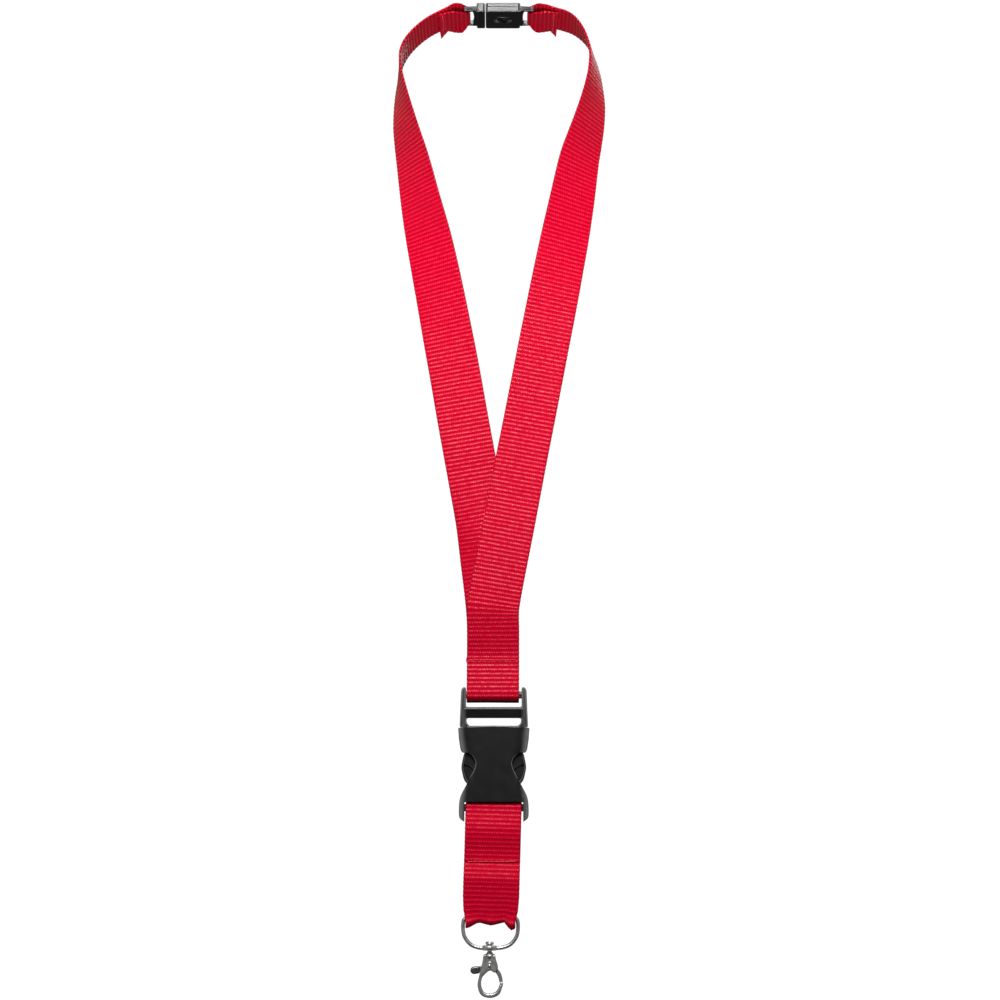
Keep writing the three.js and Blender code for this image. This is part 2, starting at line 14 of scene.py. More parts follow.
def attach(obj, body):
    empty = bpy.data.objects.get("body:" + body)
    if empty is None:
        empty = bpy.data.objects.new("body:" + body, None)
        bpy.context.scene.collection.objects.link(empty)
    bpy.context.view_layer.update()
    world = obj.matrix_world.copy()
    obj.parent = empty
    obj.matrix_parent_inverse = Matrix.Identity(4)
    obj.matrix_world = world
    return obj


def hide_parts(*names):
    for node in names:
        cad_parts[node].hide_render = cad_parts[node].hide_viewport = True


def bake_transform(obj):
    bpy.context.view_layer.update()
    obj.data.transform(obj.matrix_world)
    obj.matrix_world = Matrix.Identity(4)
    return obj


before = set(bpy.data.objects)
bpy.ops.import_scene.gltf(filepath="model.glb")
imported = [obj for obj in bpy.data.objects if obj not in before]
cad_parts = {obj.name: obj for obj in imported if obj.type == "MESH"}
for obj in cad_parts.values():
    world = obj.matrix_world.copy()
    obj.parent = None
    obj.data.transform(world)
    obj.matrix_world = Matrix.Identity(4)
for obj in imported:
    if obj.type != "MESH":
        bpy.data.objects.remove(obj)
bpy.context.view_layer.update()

MM = 0.001

# The part's driving sizes.
WIDTH = 25.0
LAYER = 1.5
CLIP_Z = 6.0
CLIP_THICK = 4.8
CLIP_HALF = 10.7
LEFT_BAR_X = -13.7
RIGHT_BAR_X = 19.3
CLIP_BAR_Z = 5.8
CLIP_BAR_R = 0.9
PARTING_X = -3.9
PLUG_END = -8.4
SOCKET_END = 13.5
NARROW = 15.0
BUCKLE_X = 0.4
TOP_BAR_Z = -336.0
TOP_BAR_R = 1.7
SEAM_Z = -319.5
CREASE = (-5.5, -252.8)
LOWER_BAR_Z = -389.0
LOWER_BAR_R = 1.8
LOWER_SEAM_Z = -414.0
LOWER_WIDTH = 26.4
RING_X = -1.1
RING_Z = -440.0
RING_HALF = 12.3
WIRE = 0.9
SWIVEL_X = -1.5
GATE_Z = -461.6

# How far along the straps some places lie.
TOP_FOLD_S = 25.9
RIGHT_SEAM_S = 47.3
LOWER_RING_S = 87.6

# The webbing's ribs.
RIB = 2.07
RIB_STEPS = 6
RIB_HEIGHT = 0.12
CORE_HALF = 0.46
WARP_PITCH = 1.1


# ---- Nodes ----

class Graph:
    """Short calls for the nodes of a world or a material."""

    def __init__(self, tree):
        self.nodes, self.links = tree.nodes, tree.links

    def node(self, kind, settings=None, **inputs):
        made = self.nodes.new(kind)
        for key, value in (settings or {}).items():
            setattr(made, key, value)
        for key, value in inputs.items():
            socket = made.inputs[int(key[1:]) if key[1:].isdigit() else key]
            if isinstance(value, bpy.types.NodeSocket):
                self.links.new(value, socket)
            else:
                socket.default_value = value
        return made

    def coordinate(self, kind):
        return self.node("ShaderNodeTexCoord").outputs[kind]

    def split(self, vector):
        return self.node("ShaderNodeSeparateXYZ", i0=vector).outputs

    def math(self, operation, a, b=0.0):
        return self.node("ShaderNodeMath", {"operation": operation}, i0=a, i1=b).outputs[0]

    def add(self, a, b):
        return self.math("ADD", a, b)

    def mul(self, a, b):
        return self.math("MULTIPLY", a, b)

    def away(self, value, middle):
        """How far a value is from a middle, either way."""
        return self.math("ABSOLUTE", self.math("SUBTRACT", value, middle))

    def ripple(self, value):
        """0 at every whole number, and 1 halfway between."""
        return self.mul(self.math("PINGPONG", value, 0.5), 2.0)

    def span(self, value, start, end, low, high):
        """The value's way from start to end, carried over to low and high, and held there."""
        limits = {"From Min": start, "From Max": end, "To Min": low, "To Max": high}
        return self.node("ShaderNodeMapRange", Value=value, **limits).outputs[0]

    def noise(self, vector, scale, detail=2.0, roughness=0.5):
        limits = {"Scale": scale, "Detail": detail, "Roughness": roughness}
        return self.node("ShaderNodeTexNoise", Vector=vector, **limits).outputs["Fac"]

    def ramp(self, value, stops):
        made = self.node("ShaderNodeValToRGB", Fac=value)
        elements = made.color_ramp.elements
        elements[0].position, elements[0].color = stops[0][0], (*stops[0][1], 1)
        elements[1].position, elements[1].color = stops[-1][0], (*stops[-1][1], 1)
        for place, colour in stops[1:-1]:
            elements.new(place).color = (*colour, 1)
        return made.outputs["Color"]


class Shade(Graph):
    """A principled material and the nodes that feed it."""

    def __init__(self, name, **constants):
        self.material = bpy.data.materials.new(name)
        self.material.use_nodes = True
        super().__init__(self.material.node_tree)
        self.bsdf = self.nodes["Principled BSDF"]
        for key, value in constants.items():
            self.bsdf.inputs[key.replace("_", " ")].default_value = value

    def bump(self, height, strength, distance):
        made = self.node("ShaderNodeBump", Strength=strength, Distance=distance, Height=height)
        self.links.new(made.outputs[0], self.bsdf.inputs["Normal"])

    def feed(self, name, socket):
        self.links.new(socket, self.bsdf.inputs[name])


# ---- Camera, lights and floor ----

def make_camera():
    """A metre away, looking up from 10 degrees below the straps' normal."""
    tilt = math.radians(10)
    distance = 1000.0
    target = Vector((3.33, 5.0, -241.0))
    away = Vector((0, -math.cos(tilt), -math.sin(tilt))) * distance
    data = bpy.data.cameras.new("camera")
    data.sensor_width = 36
    data.lens = 74.12
    camera = bpy.data.objects.new("camera", data)
    camera.location = (target + away) * MM
    camera.rotation_euler = (math.radians(90) + tilt, 0, 0)
    bpy.context.scene.collection.objects.link(camera)
    bpy.context.scene.camera = camera


def area_light(name, place, size, power, aim=(0, 0, -0.22), spread=180):
    data = bpy.data.lights.new(name, "AREA")
    data.shape = "RECTANGLE"
    data.size, data.size_y = size
    data.energy = power
    data.spread = math.radians(spread)
    light = bpy.data.objects.new(name, data)
    light.location = place
    direction = Vector(aim) - Vector(place)
    light.rotation_euler = direction.to_track_quat("-Z", "Y").to_euler()
    bpy.context.scene.collection.objects.link(light)


def make_world():
    """A white studio behind and beside the object, dark in front and below where nothing is lit."""
    world = bpy.data.worlds.new("studio")
    bpy.context.scene.world = world
    world.use_nodes = True
    world.node_tree.nodes.clear()
    graph = Graph(world.node_tree)
    x, y, z = graph.split(graph.coordinate("Generated"))
    beside = graph.math("MAXIMUM", graph.math("ABSOLUTE", x), graph.mul(y, 0.52))
    level = graph.span(graph.math("MAXIMUM", beside, z), 0.4, 0.9, 0.02, 0.42)
    lit = graph.node("ShaderNodeBackground", Strength=level)
    seen = graph.node("ShaderNodeBackground", Color=(1, 1, 1, 1), Strength=1.05)
    direct = graph.node("ShaderNodeLightPath").outputs["Is Camera Ray"]
    mix = graph.node("ShaderNodeMixShader", i0=direct, i1=lit.outputs[0], i2=seen.outputs[0])
    graph.node("ShaderNodeOutputWorld", Surface=mix.outputs[0])


def make_floor():
    """A pale disc well below the hanging hook."""
    sides, radius, height = 96, 0.2, -0.95
    ring = [
        (radius * math.cos(2 * math.pi * i / sides), radius * math.sin(2 * math.pi * i / sides), height)
        for i in range(sides)
    ]
    mesh = bpy.data.meshes.new("floor")
    mesh.from_pydata(ring, [], [tuple(range(sides))])
    floor = bpy.data.objects.new("floor", mesh)
    bpy.context.scene.collection.objects.link(floor)
    mesh.materials.append(Shade("pale_floor", Base_Color=(0.86, 0.86, 0.86, 1), Roughness=0.9).material)


make_camera()
make_world()
make_floor()
area_light("key", (-0.15, -1.9, 1.7), (1.0, 0.7), 51)
area_light("front_strip", (-0.1, -1.15, 0.2), (0.8, 0.5), 1.8)
area_light("clip_strip", (0, -1.15, 0.5), (0.25, 0.16), 1.2, (0, 0, 0), 60)
area_light("low_fill", (0, -0.75, -0.75), (0.8, 0.2), 0.45, (0, 0, 0.02), 25)
area_light("back_light", (0.3, 1.3, 0.6), (0.9, 0.6), 4)
bpy.context.scene.view_settings.view_transform = "Standard"


# ---- Materials ----

def webbing_material(name, gloss_share, fold=None):
    """Red ribbed webbing. The UV map is in millimetres / 100: x across the strap, y along it.

    fold is how far along the strap it is bent round a bar; there its colour is painted darker, as painted
    shade.
    """
    shade = Shade(name, IOR=1.36, Specular_Tint=(1.0, 0.6, 0.63, 1), Sheen_Weight=0.1,
                  Sheen_Roughness=0.4, Sheen_Tint=(1.0, 0.5, 0.4, 1))
    across, along = (shade.mul(value, 100.0) for value in shade.split(shade.coordinate("UV"))[:2])
    rib_count = shade.math("DIVIDE", along, RIB)
    rib_index = shade.math("FLOOR", rib_count)
    phase = shade.math("FRACT", rib_count)
    # Twisted warp threads cross each rib on a slant, every other rib half a thread over.
    thread_place = shade.add(shade.math("DIVIDE", across, WARP_PITCH), shade.mul(rib_index, 0.5))
    thread = shade.ripple(shade.add(thread_place, shade.mul(phase, 1.1)))
    position = shade.coordinate("Object")
    fuzz = shade.noise(position, 2600.0, 2.0, 0.6)
    patch = shade.noise(position, 300.0, 3.0, 0.55)
    broad = shade.noise(position, 22.0, 2.0, 0.5)
    crest = shade.math("POWER", shade.ripple(phase), 2.6)
    # The crests of the ribs are painted lighter along their threads, a painted highlight; the noise
    # layers add random tone.
    light = shade.mul(crest, shade.add(shade.mul(thread, 0.55), 0.1))
    for layer, amount in ((fuzz, 0.42), (patch, 0.22), (broad, 0.1)):
        light = shade.add(light, shade.mul(layer, amount))
    colour = shade.ramp(light, [
        (0.2, (0.42, 0.0006, 0.016)),
        (0.45, (0.56, 0.001, 0.023)),
        (0.7, (0.70, 0.002, 0.030)),
        (1.0, (0.92, 0.02, 0.055)),
    ])
    # The selvedges are darker, and the fold is painted darker: painted shade where the strap turns under
    # the bar.
    tone = shade.span(shade.away(across, WIDTH / 2), 11.9, 12.5, 1.0, 0.6)
    if fold is not None:
        tone = shade.mul(tone, shade.span(shade.away(along, fold), 1.6, 4.4, 0.1, 1.0))
    toned = shade.node("ShaderNodeVectorMath", {"operation": "SCALE"}, Vector=colour, Scale=tone)
    shade.feed("Base Color", toned.outputs[0])
    gloss = shade.add(shade.mul(fuzz, 0.5), shade.mul(patch, 0.5))
    shade.feed("Roughness", shade.span(gloss, 0, 1, 0.26, 0.5))
    # Only the crests of the ribs shine, in broken flecks, and less where a face stands sideways.
    flecks = shade.noise(position, 800.0, 2.0, 0.6)
    broken = shade.span(flecks, 0.38, 0.62, 0.3 * gloss_share, 2.4 * gloss_share)
    glint = shade.mul(shade.mul(crest, shade.add(thread, 0.3)), broken)
    sideways = shade.split(shade.coordinate("Normal"))[0]
    rubbed = shade.mul(shade.mul(sideways, sideways), 0.92)
    glint = shade.mul(glint, shade.math("SUBTRACT", 1.0, rubbed))
    shade.feed("Specular IOR Level", shade.add(glint, 0.02))
    shade.bump(shade.add(shade.mul(thread, crest), shade.mul(fuzz, 0.5)), 0.8, 0.00014)
    return shade.material


def thread_material():
    """Red sewing thread with its twist."""
    shade = Shade("sewing_thread", Roughness=0.6, Sheen_Weight=0.05, Specular_IOR_Level=0.2)
    twist = shade.node("ShaderNodeTexWave", {"bands_direction": "DIAGONAL"}, Scale=1500.0,
                       Vector=shade.coordinate("Object"), Distortion=1.5).outputs["Fac"]
    shade.feed("Base Color", shade.ramp(twist, [(0.1, (0.6, 0.012, 0.035)), (0.9, (0.9, 0.07, 0.1))]))
    shade.bump(twist, 0.4, 0.00006)
    return shade.material


def plastic_material(name, painted_side_light=0.0):
    """Black acetal with a fine moulded grain, and faces that slope between front and side painted
    lighter: a painted highlight.

    The second argument is how much paler the buckle's rails are painted than the rest of it: painted side
    light.
    """
    shade = Shade(name, Specular_IOR_Level=0.42)
    position = shade.coordinate("Object")
    grain = shade.noise(position, 3600.0, 3.0, 0.6)
    cloud = shade.noise(position, 180.0, 3.0, 0.5)
    # Faces that slope between front and side are painted lighter: a painted highlight where side light
    # catches the rounded edges.
    forward = shade.split(shade.coordinate("Normal"))[1]
    square = shade.mul(forward, forward)
    painted_slant_highlight = shade.mul(shade.mul(square, shade.math("SUBTRACT", 1.0, square)), 4.0)
    tone = shade.add(shade.mul(cloud, 0.25), shade.mul(painted_slant_highlight, 0.75))
    # The rails are painted paler: painted side light.
    if painted_side_light:
        from_middle = shade.away(shade.split(position)[0], BUCKLE_X * MM)
        tone = shade.add(tone, shade.span(from_middle, 12.6 * MM, 14.2 * MM, 0.0, painted_side_light))
    shade.feed("Base Color", shade.ramp(tone, [
        (0.1, (0.004, 0.004, 0.0042)),
        (0.3, (0.009, 0.009, 0.0092)),
        (1.0, (0.2, 0.2, 0.2)),
    ]))
    wear = shade.add(shade.mul(grain, 0.5), shade.mul(cloud, 0.5))
    shade.feed("Roughness", shade.span(wear, 0, 1, 0.26, 0.44))
    shade.bump(grain, 0.3, 0.00004)
    return shade.material


def nickel_material(name, low, high, dark=0.44, pale=0.66):
    """Nickel plate with fine polishing marks and cloudy wear."""
    shade = Shade(name, Metallic=1.0)
    position = shade.coordinate("Object")
    marks = shade.node("ShaderNodeMapping", Vector=position, Scale=(1, 1, 14)).outputs[0]
    scratch = shade.noise(marks, 900.0, 4.0, 0.7)
    cloud = shade.noise(position, 420.0, 3.0, 0.55)
    shade.feed("Base Color", shade.ramp(cloud, [
        (0.2, (dark, dark, 0.98 * dark)),
        (0.8, (pale, pale, 0.98 * pale)),
    ]))
    wear = shade.add(shade.mul(scratch, 0.5), shade.mul(cloud, 0.5))
    shade.feed("Roughness", shade.span(wear, 0, 1, low, high))
    shade.bump(scratch, 0.18, 0.00003)
    return shade.material


WEBBING = webbing_material("webbing_red", 1.0)
# The right strap's fold round the top bar is painted dark: painted shade.
WEBBING_SHADED_FOLD = webbing_material("webbing_red_painted_fold_shade", 1.0, TOP_FOLD_S)
WEBBING_MATT = webbing_material("webbing_red_worn_matt", 0.5)
THREAD = thread_material()
PLASTIC = plastic_material("moulded_plastic")
# A copy whose rails are painted paler: painted side light.
SIDE_LIT_PLASTIC = plastic_material("moulded_plastic_painted_side_light", 0.34)
NICKEL = nickel_material("nickel_plate", 0.3, 0.5)
CAST = nickel_material("nickel_on_casting", 0.28, 0.52)
# The lever is the same nickel with its colour painted darker: a painted dark reflection.
LEVER = nickel_material("darkened_lever", 0.34, 0.5, 0.1, 0.2)


# ---- Mesh helpers ----

def make_object(name, points, faces, material, uv=None, smooth=True):
    """A mesh object from points in millimetres."""
    mesh = bpy.data.meshes.new(name)
    mesh.from_pydata((np.asarray(points, float) * MM).tolist(), [], faces)
    mesh.update()
    if uv is not None:
        layer = mesh.uv_layers.new(name="UVMap")
        loop_vertex = np.empty(len(mesh.loops), int)
        mesh.loops.foreach_get("vertex_index", loop_vertex)
        layer.data.foreach_set("uv", np.asarray(uv, float)[loop_vertex].ravel())
    mesh.polygons.foreach_set("use_smooth", [smooth] * len(mesh.polygons))
    mesh.materials.append(material)
    made = bpy.data.objects.new(name, mesh)
    bpy.context.scene.collection.objects.link(made)
    return made


def face_outwards(made):
    work = bmesh.new()
    work.from_mesh(made.data)
    bmesh.ops.remove_doubles(work, verts=work.verts, dist=1e-6)
    bmesh.ops.recalc_face_normals(work, faces=work.faces)
    work.to_mesh(made.data)
    work.free()
    made.data.update()
    return made


def join(pieces):
    """One object from several, keeping the first one's name and material."""
    work = bmesh.new()
    for piece in pieces:
        work.from_mesh(piece.data)
    work.to_mesh(pieces[0].data)
    work.free()
    for piece in pieces[1:]:
        bpy.data.objects.remove(piece)
    return pieces[0]


def boolean(made, others, operation):
    for other in others:
        modifier = made.modifiers.new("boolean", "BOOLEAN")
        modifier.operation = operation
        modifier.solver = "EXACT"
        modifier.object = other
        apply_modifiers(made)
        bpy.data.objects.remove(other)
    return made


def apply_modifiers(made):
    bpy.context.view_layer.update()
    graph = bpy.context.evaluated_depsgraph_get()
    finished = bpy.data.meshes.new_from_object(made.evaluated_get(graph))
    old = made.data
    made.modifiers.clear()
    made.data = finished
    finished.name = made.name
    bpy.data.meshes.remove(old)
    return made


def soften(made, width, segments=2, angle=40):
    """Small rounded edges wherever two faces meet sharply."""
    modifier = made.modifiers.new("bevel", "BEVEL")
    modifier.width = width * MM
    modifier.segments = segments
    modifier.limit_method = "ANGLE"
    modifier.angle_limit = math.radians(angle)
    modifier.use_clamp_overlap = True
    apply_modifiers(made)
    return made


def shade_by_angle(made, angle=32):
    made.data.polygons.foreach_set("use_smooth", [True] * len(made.data.polygons))
    made.data.set_sharp_from_angle(angle=math.radians(angle))
    for polygon in made.data.polygons:
        if max(abs(value) for value in polygon.normal) > 0.9999:
            polygon.use_smooth = False
    return made


def spline(points, per_span=8):
    """A smooth line through the points (uniform Catmull-Rom)."""
    p = np.asarray(points, float)
    ends = np.vstack([2 * p[0] - p[1], p, 2 * p[-1] - p[-2]])
    out = []
    for i in range(len(p) - 1):
        a, b, c, d = ends[i:i + 4]
        for k in range(per_span):
            t = k / per_span
            out.append(0.5 * (2 * b + (c - a) * t + (2 * a - 5 * b + 4 * c - d) * t * t
                              + (3 * b - a - 3 * c + d) * t ** 3))
    out.append(p[-1])
    return np.array(out)


def contour(runs, corner=0.4, per_span=6):
    """A closed outline: runs of three or more points are smooth, and sharp corners are rounded."""
    points = []
    for run in runs:
        line = spline(run, per_span) if len(run) > 2 else np.asarray(run, float)
        for p in line:
            if not points or np.linalg.norm(p - points[-1]) > 1e-3:
                points.append(p)
    if np.linalg.norm(points[0] - points[-1]) < 1e-3:
        points.pop()
    p = np.array(points)
    rounded = []
    for i in range(len(p)):
        a, b, c = p[i - 1], p[i], p[(i + 1) % len(p)]
        before, after = a - b, c - b
        len_before, len_after = np.linalg.norm(before), np.linalg.norm(after)
        before, after = before / len_before, after / len_after
        turn = math.pi - math.acos(np.clip(before @ after, -1, 1))
        if turn < math.radians(24):
            rounded.append(b)
            continue
        cut = min(corner * math.tan(turn / 2), 0.45 * len_before, 0.45 * len_after)
        start, end = b + before * cut, b + after * cut
        for k in range(6):
            t = k / 5
            rounded.append((1 - t) ** 2 * start + 2 * t * (1 - t) * b + t * t * end)
    return np.array(rounded)


def mirrored(runs):
    return [[(-x, z) for x, z in run[::-1]] for run in runs[::-1]]


def shifted(runs, dx):
    return [[(x + dx, z) for x, z in run] for run in runs]


def inset(loop, amount):
    """The closed loop moved inwards by amount, as seen by a loop that runs anticlockwise."""
    before = loop - np.roll(loop, 1, axis=0)
    after = np.roll(loop, -1, axis=0) - loop
    before /= np.linalg.norm(before, axis=1)[:, None]
    after /= np.linalg.norm(after, axis=1)[:, None]
    n1 = np.stack([-before[:, 1], before[:, 0]], 1)
    n2 = np.stack([-after[:, 1], after[:, 0]], 1)
    mid = n1 + n2
    mid /= np.maximum(np.linalg.norm(mid, axis=1)[:, None], 1e-6)
    cosine = np.clip((mid * n1).sum(1), 0.55, 1)
    return loop + mid * (amount / cosine)[:, None]


def anticlockwise(loop):
    x, z = loop[:, 0], loop[:, 1]
    area = (x * np.roll(z, -1) - z * np.roll(x, -1)).sum()
    return loop if area > 0 else loop[::-1]


def slab(name, outer, low, high, material, fillet=0.5, holes=(), place=None, steps=4):
    """A plate between two depths with rounded edges. place turns (a, b, depth) into (x, y, z)."""
    place = place or (lambda a, b, depth: (a, depth, b))
    loops = [anticlockwise(np.asarray(outer, float))]
    loops += [anticlockwise(np.asarray(hole, float))[::-1] for hole in holes]
    points, faces, caps = [], [], [[], []]
    for loop in loops:
        n = len(loop)
        rings = []
        for k in range(steps + 1):
            angle = math.pi / 2 * k / steps
            rings.append((fillet * (1 - math.sin(angle)), low + fillet * (1 - math.cos(angle))))
        rings += [(amount, high + low - depth) for amount, depth in rings[::-1]]
        first = len(points)
        for amount, depth in rings:
            moved = inset(loop, amount)
            points += [place(a, b, depth) for a, b in moved]
        for r in range(len(rings) - 1):
            for i in range(n):
                j = (i + 1) % n
                a = first + r * n
                b = a + n
                faces.append((a + i, a + j, b + j, b + i))
        caps[0].append([first + i for i in range(n)])
        caps[1].append([first + (len(rings) - 1) * n + i for i in range(n)])
    made = make_object(name, points, faces, material)
    work = bmesh.new()
    work.from_mesh(made.data)
    work.verts.ensure_lookup_table()
    for cap in caps:
        edges = []
        for loop in cap:
            for i in range(len(loop)):
                edges.append(work.edges.get((work.verts[loop[i - 1]], work.verts[loop[i]])))
        filled = bmesh.ops.triangle_fill(work, use_beauty=True, edges=edges)
        for face in filled["geom"]:
            if isinstance(face, bmesh.types.BMFace):
                face.smooth = True
    bmesh.ops.recalc_face_normals(work, faces=work.faces)
    work.to_mesh(made.data)
    work.free()
    return shade_by_angle(made, 40)


def box(name, x0, x1, y0, y1, z0, z1, material=None):
    corners = [(x, y, z) for x in (x0, x1) for y in (y0, y1) for z in (z0, z1)]
    faces = [(0, 1, 3, 2), (4, 6, 7, 5), (0, 4, 5, 1), (2, 3, 7, 6), (0, 2, 6, 4), (1, 5, 7, 3)]
    return face_outwards(make_object(name, corners, faces, material or PLASTIC, smooth=False))


def tube(name, path, radius, material, sides=18, up=(0, 1, 0)):
    """A round bar along a line, its ends closed with domes. radius is one number or one a point."""
    p = np.asarray(path, float)
    r = np.broadcast_to(np.asarray(radius, float), (len(p),)).copy()
    tangents = np.gradient(p, axis=0)
    tangents /= np.linalg.norm(tangents, axis=1)[:, None]
    points = []
    rings = []
    dome = [math.radians(a) for a in (0, 25, 50, 75)]
    for a in dome[::-1]:
        rings.append((p[0] - tangents[0] * r[0] * math.sin(a), tangents[0], r[0] * math.cos(a)))
    for i in range(1, len(p) - 1):
        rings.append((p[i], tangents[i], r[i]))
    for a in dome:
        rings.append((p[-1] + tangents[-1] * r[-1] * math.sin(a), tangents[-1], r[-1] * math.cos(a)))
    for centre, tangent, size in rings:
        side = np.cross(tangent, up)
        if np.linalg.norm(side) < 1e-6:
            side = np.cross(tangent, (1, 0, 0))
        side /= np.linalg.norm(side)
        other = np.cross(side, tangent)
        for k in range(sides):
            angle = 2 * math.pi * k / sides
            points.append(centre + size * (math.cos(angle) * side + math.sin(angle) * other))
    faces = []
    for i in range(len(rings) - 1):
        for k in range(sides):
            a, b = i * sides + k, i * sides + (k + 1) % sides
            faces.append((a, b, b + sides, a + sides))
    faces.append(tuple(range(sides)))
    faces.append(tuple(range((len(rings) - 1) * sides, len(rings) * sides))[::-1])
    return face_outwards(make_object(name, points, faces, material))


def lathe(name, profile, centre, material, axis="z", sides=40):
    """A turned body from (radius, height) points, closed at both ends."""
    points, faces = [], []
    for r, h in profile:
        for k in range(sides):
            angle = 2 * math.pi * k / sides
            a, b = r * math.cos(angle), r * math.sin(angle)
            local = (a, b, h) if axis == "z" else (a, h, b)
            points.append(np.array(centre, float) + local)
    for i in range(len(profile) - 1):
        for k in range(sides):
            a, b = i * sides + k, i * sides + (k + 1) % sides
            faces.append((a, b, b + sides, a + sides))
    faces.append(tuple(range(sides)))
    faces.append(tuple(range((len(profile) - 1) * sides, len(profile) * sides)))
    return shade_by_angle(face_outwards(make_object(name, points, faces, material)), 38)


def finish_piece(piece, body, slot_name, *nodes):
    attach(piece, body)
    if nodes:
        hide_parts(*nodes)
    return piece


# ---- Webbing ----
# Rows are [x, y, z, turn, width]. At turn 0 the width lies along X, and at turn 90 the strap
# stands on edge with its +X edge brought to the front.

def arc_rows(centre, radius, start, end, steps, place, turn, width):
    rows = []
    for i in range(steps + 1):
        angle = math.radians(start + (end - start) * i / steps)
        rows.append([*place(centre[0] + radius * math.cos(angle), centre[1] + radius * math.sin(angle)),
                     turn, width])
    return rows


def route(rows, per_span=24):
    """Places, turns and widths at even steps along the centripetal spline through the rows."""
    rows = np.array(rows, float)
    p = rows[:, :3]
    ends = np.vstack([2 * p[0] - p[1], p, 2 * p[-1] - p[-2]])
    dense, extra = [], []
    for i in range(len(p) - 1):
        a, b, c, d = ends[i:i + 4]
        d0, d1, d2 = (max(np.linalg.norm(v), 1e-6) ** 0.5 for v in (b - a, c - b, d - c))
        t1 = ((b - a) / d0 - (c - a) / (d0 + d1) + (c - b) / d1) * d1
        t2 = ((c - b) / d1 - (d - b) / (d1 + d2) + (d - c) / d2) * d1
        for k in range(per_span):
            t = k / per_span
            dense.append(b + t1 * t + (-3 * b + 3 * c - 2 * t1 - t2) * t * t
                         + (2 * b - 2 * c + t1 + t2) * t ** 3)
            extra.append(rows[i, 3:] * (1 - t) + rows[i + 1, 3:] * t)
    dense.append(p[-1])
    extra.append(rows[-1, 3:])
    dense, extra = np.array(dense), np.array(extra)
    travelled = np.concatenate([[0], np.cumsum(np.linalg.norm(np.diff(dense, axis=0), axis=1))])
    length = travelled[-1]
    step = RIB / RIB_STEPS
    s = np.arange(int(length / step) + 1) * step
    places = np.stack([np.interp(s, travelled, dense[:, k]) for k in range(3)], 1)
    turns = np.interp(s, travelled, extra[:, 0])
    widths = np.interp(s, travelled, extra[:, 1])
    return s, places, turns, widths, length


def section():
    """The strap's cross-section: (place across from -1 to 1, which face, share of thickness)."""
    edge = 1 - CORE_HALF / (WIDTH / 2)
    flat = np.linspace(-edge, edge, 15)
    bend = [edge + (1 - edge) * math.sin(math.radians(a)) for a in (30, 60)]
    thin = [math.cos(math.radians(a)) for a in (30, 60)]
    front = [(-1, 0.0)] + [(-b, t) for b, t in zip(bend[::-1], thin[::-1])]
    front += [(u, 1.0) for u in flat] + [(b, t) for b, t in zip(bend, thin)] + [(1, 0.0)]
    ring = [(u, 1, t) for u, t in front]
    ring += [(u, -1, t) for u, t in front[-2:0:-1]]
    return ring


def webbing(name, rows, warp, material=None):
    """A ribbed strap. warp(s, u, length) gives extra moves across, out from the face and along."""
    s, places, turns, widths, length = route(rows)
    tangents = np.gradient(places, axis=0)
    tangents /= np.linalg.norm(tangents, axis=1)[:, None]
    across = np.stack([np.cos(np.radians(turns)), -np.sin(np.radians(turns)), 0 * turns], 1)
    across -= tangents * (across * tangents).sum(1)[:, None]
    across /= np.linalg.norm(across, axis=1)[:, None]
    normal = np.cross(tangents, across)
    ring = section()
    n = len(ring)
    points = np.zeros((len(s), n, 3))
    uv = np.zeros((len(s), n, 2))
    for i in range(len(s)):
        phase = (i % RIB_STEPS) / RIB_STEPS
        crown = (0.5 - 0.5 * math.cos(2 * math.pi * phase)) ** 1.2
        index = i // RIB_STEPS
        vary = 1 + 0.12 * noise.noise(Vector((index * 0.73, 5.1, len(name))))
        for k, (u, side, share) in enumerate(ring):
            lumpy = 1 + 0.1 * noise.noise(Vector((u * 6, index * 1.7, side)))
            height = (CORE_HALF + RIB_HEIGHT * crown * vary * lumpy) * share * side
            reach = u * (widths[i] / 2 - 0.12 * (1 - crown) * abs(u) ** 6)
            move_across, move_out, slide = warp(s[i], u, length)
            reach += move_across
            height += move_out
            points[i, k] = places[i] + across[i] * reach + normal[i] * height + tangents[i] * slide
            uv[i, k] = ((u + 1) * WIDTH / 200, s[i] / 100)
    faces = []
    for i in range(len(s) - 1):
        for k in range(n):
            a, b = i * n + k, i * n + (k + 1) % n
            faces.append((a, b, b + n, a + n))
    faces.append(tuple(range(n))[::-1])
    faces.append(tuple(range((len(s) - 1) * n, len(s) * n)))
    made = make_object(name, points.reshape(-1, 3), faces, material or WEBBING, uv.reshape(-1, 2))
    work = bmesh.new()
    work.from_mesh(made.data)
    bmesh.ops.recalc_face_normals(work, faces=work.faces)
    work.to_mesh(made.data)
    work.free()
    return made, length


def in_xz(x, z):
    return (x, 0, z)


def at_x(x):
    return lambda y, z: (x, y, z)


def standing(x, z, turn, narrower=0):
    """A row of the neck straps in the plane that they stand square to."""
    return [x, 0, z, turn, WIDTH - narrower]


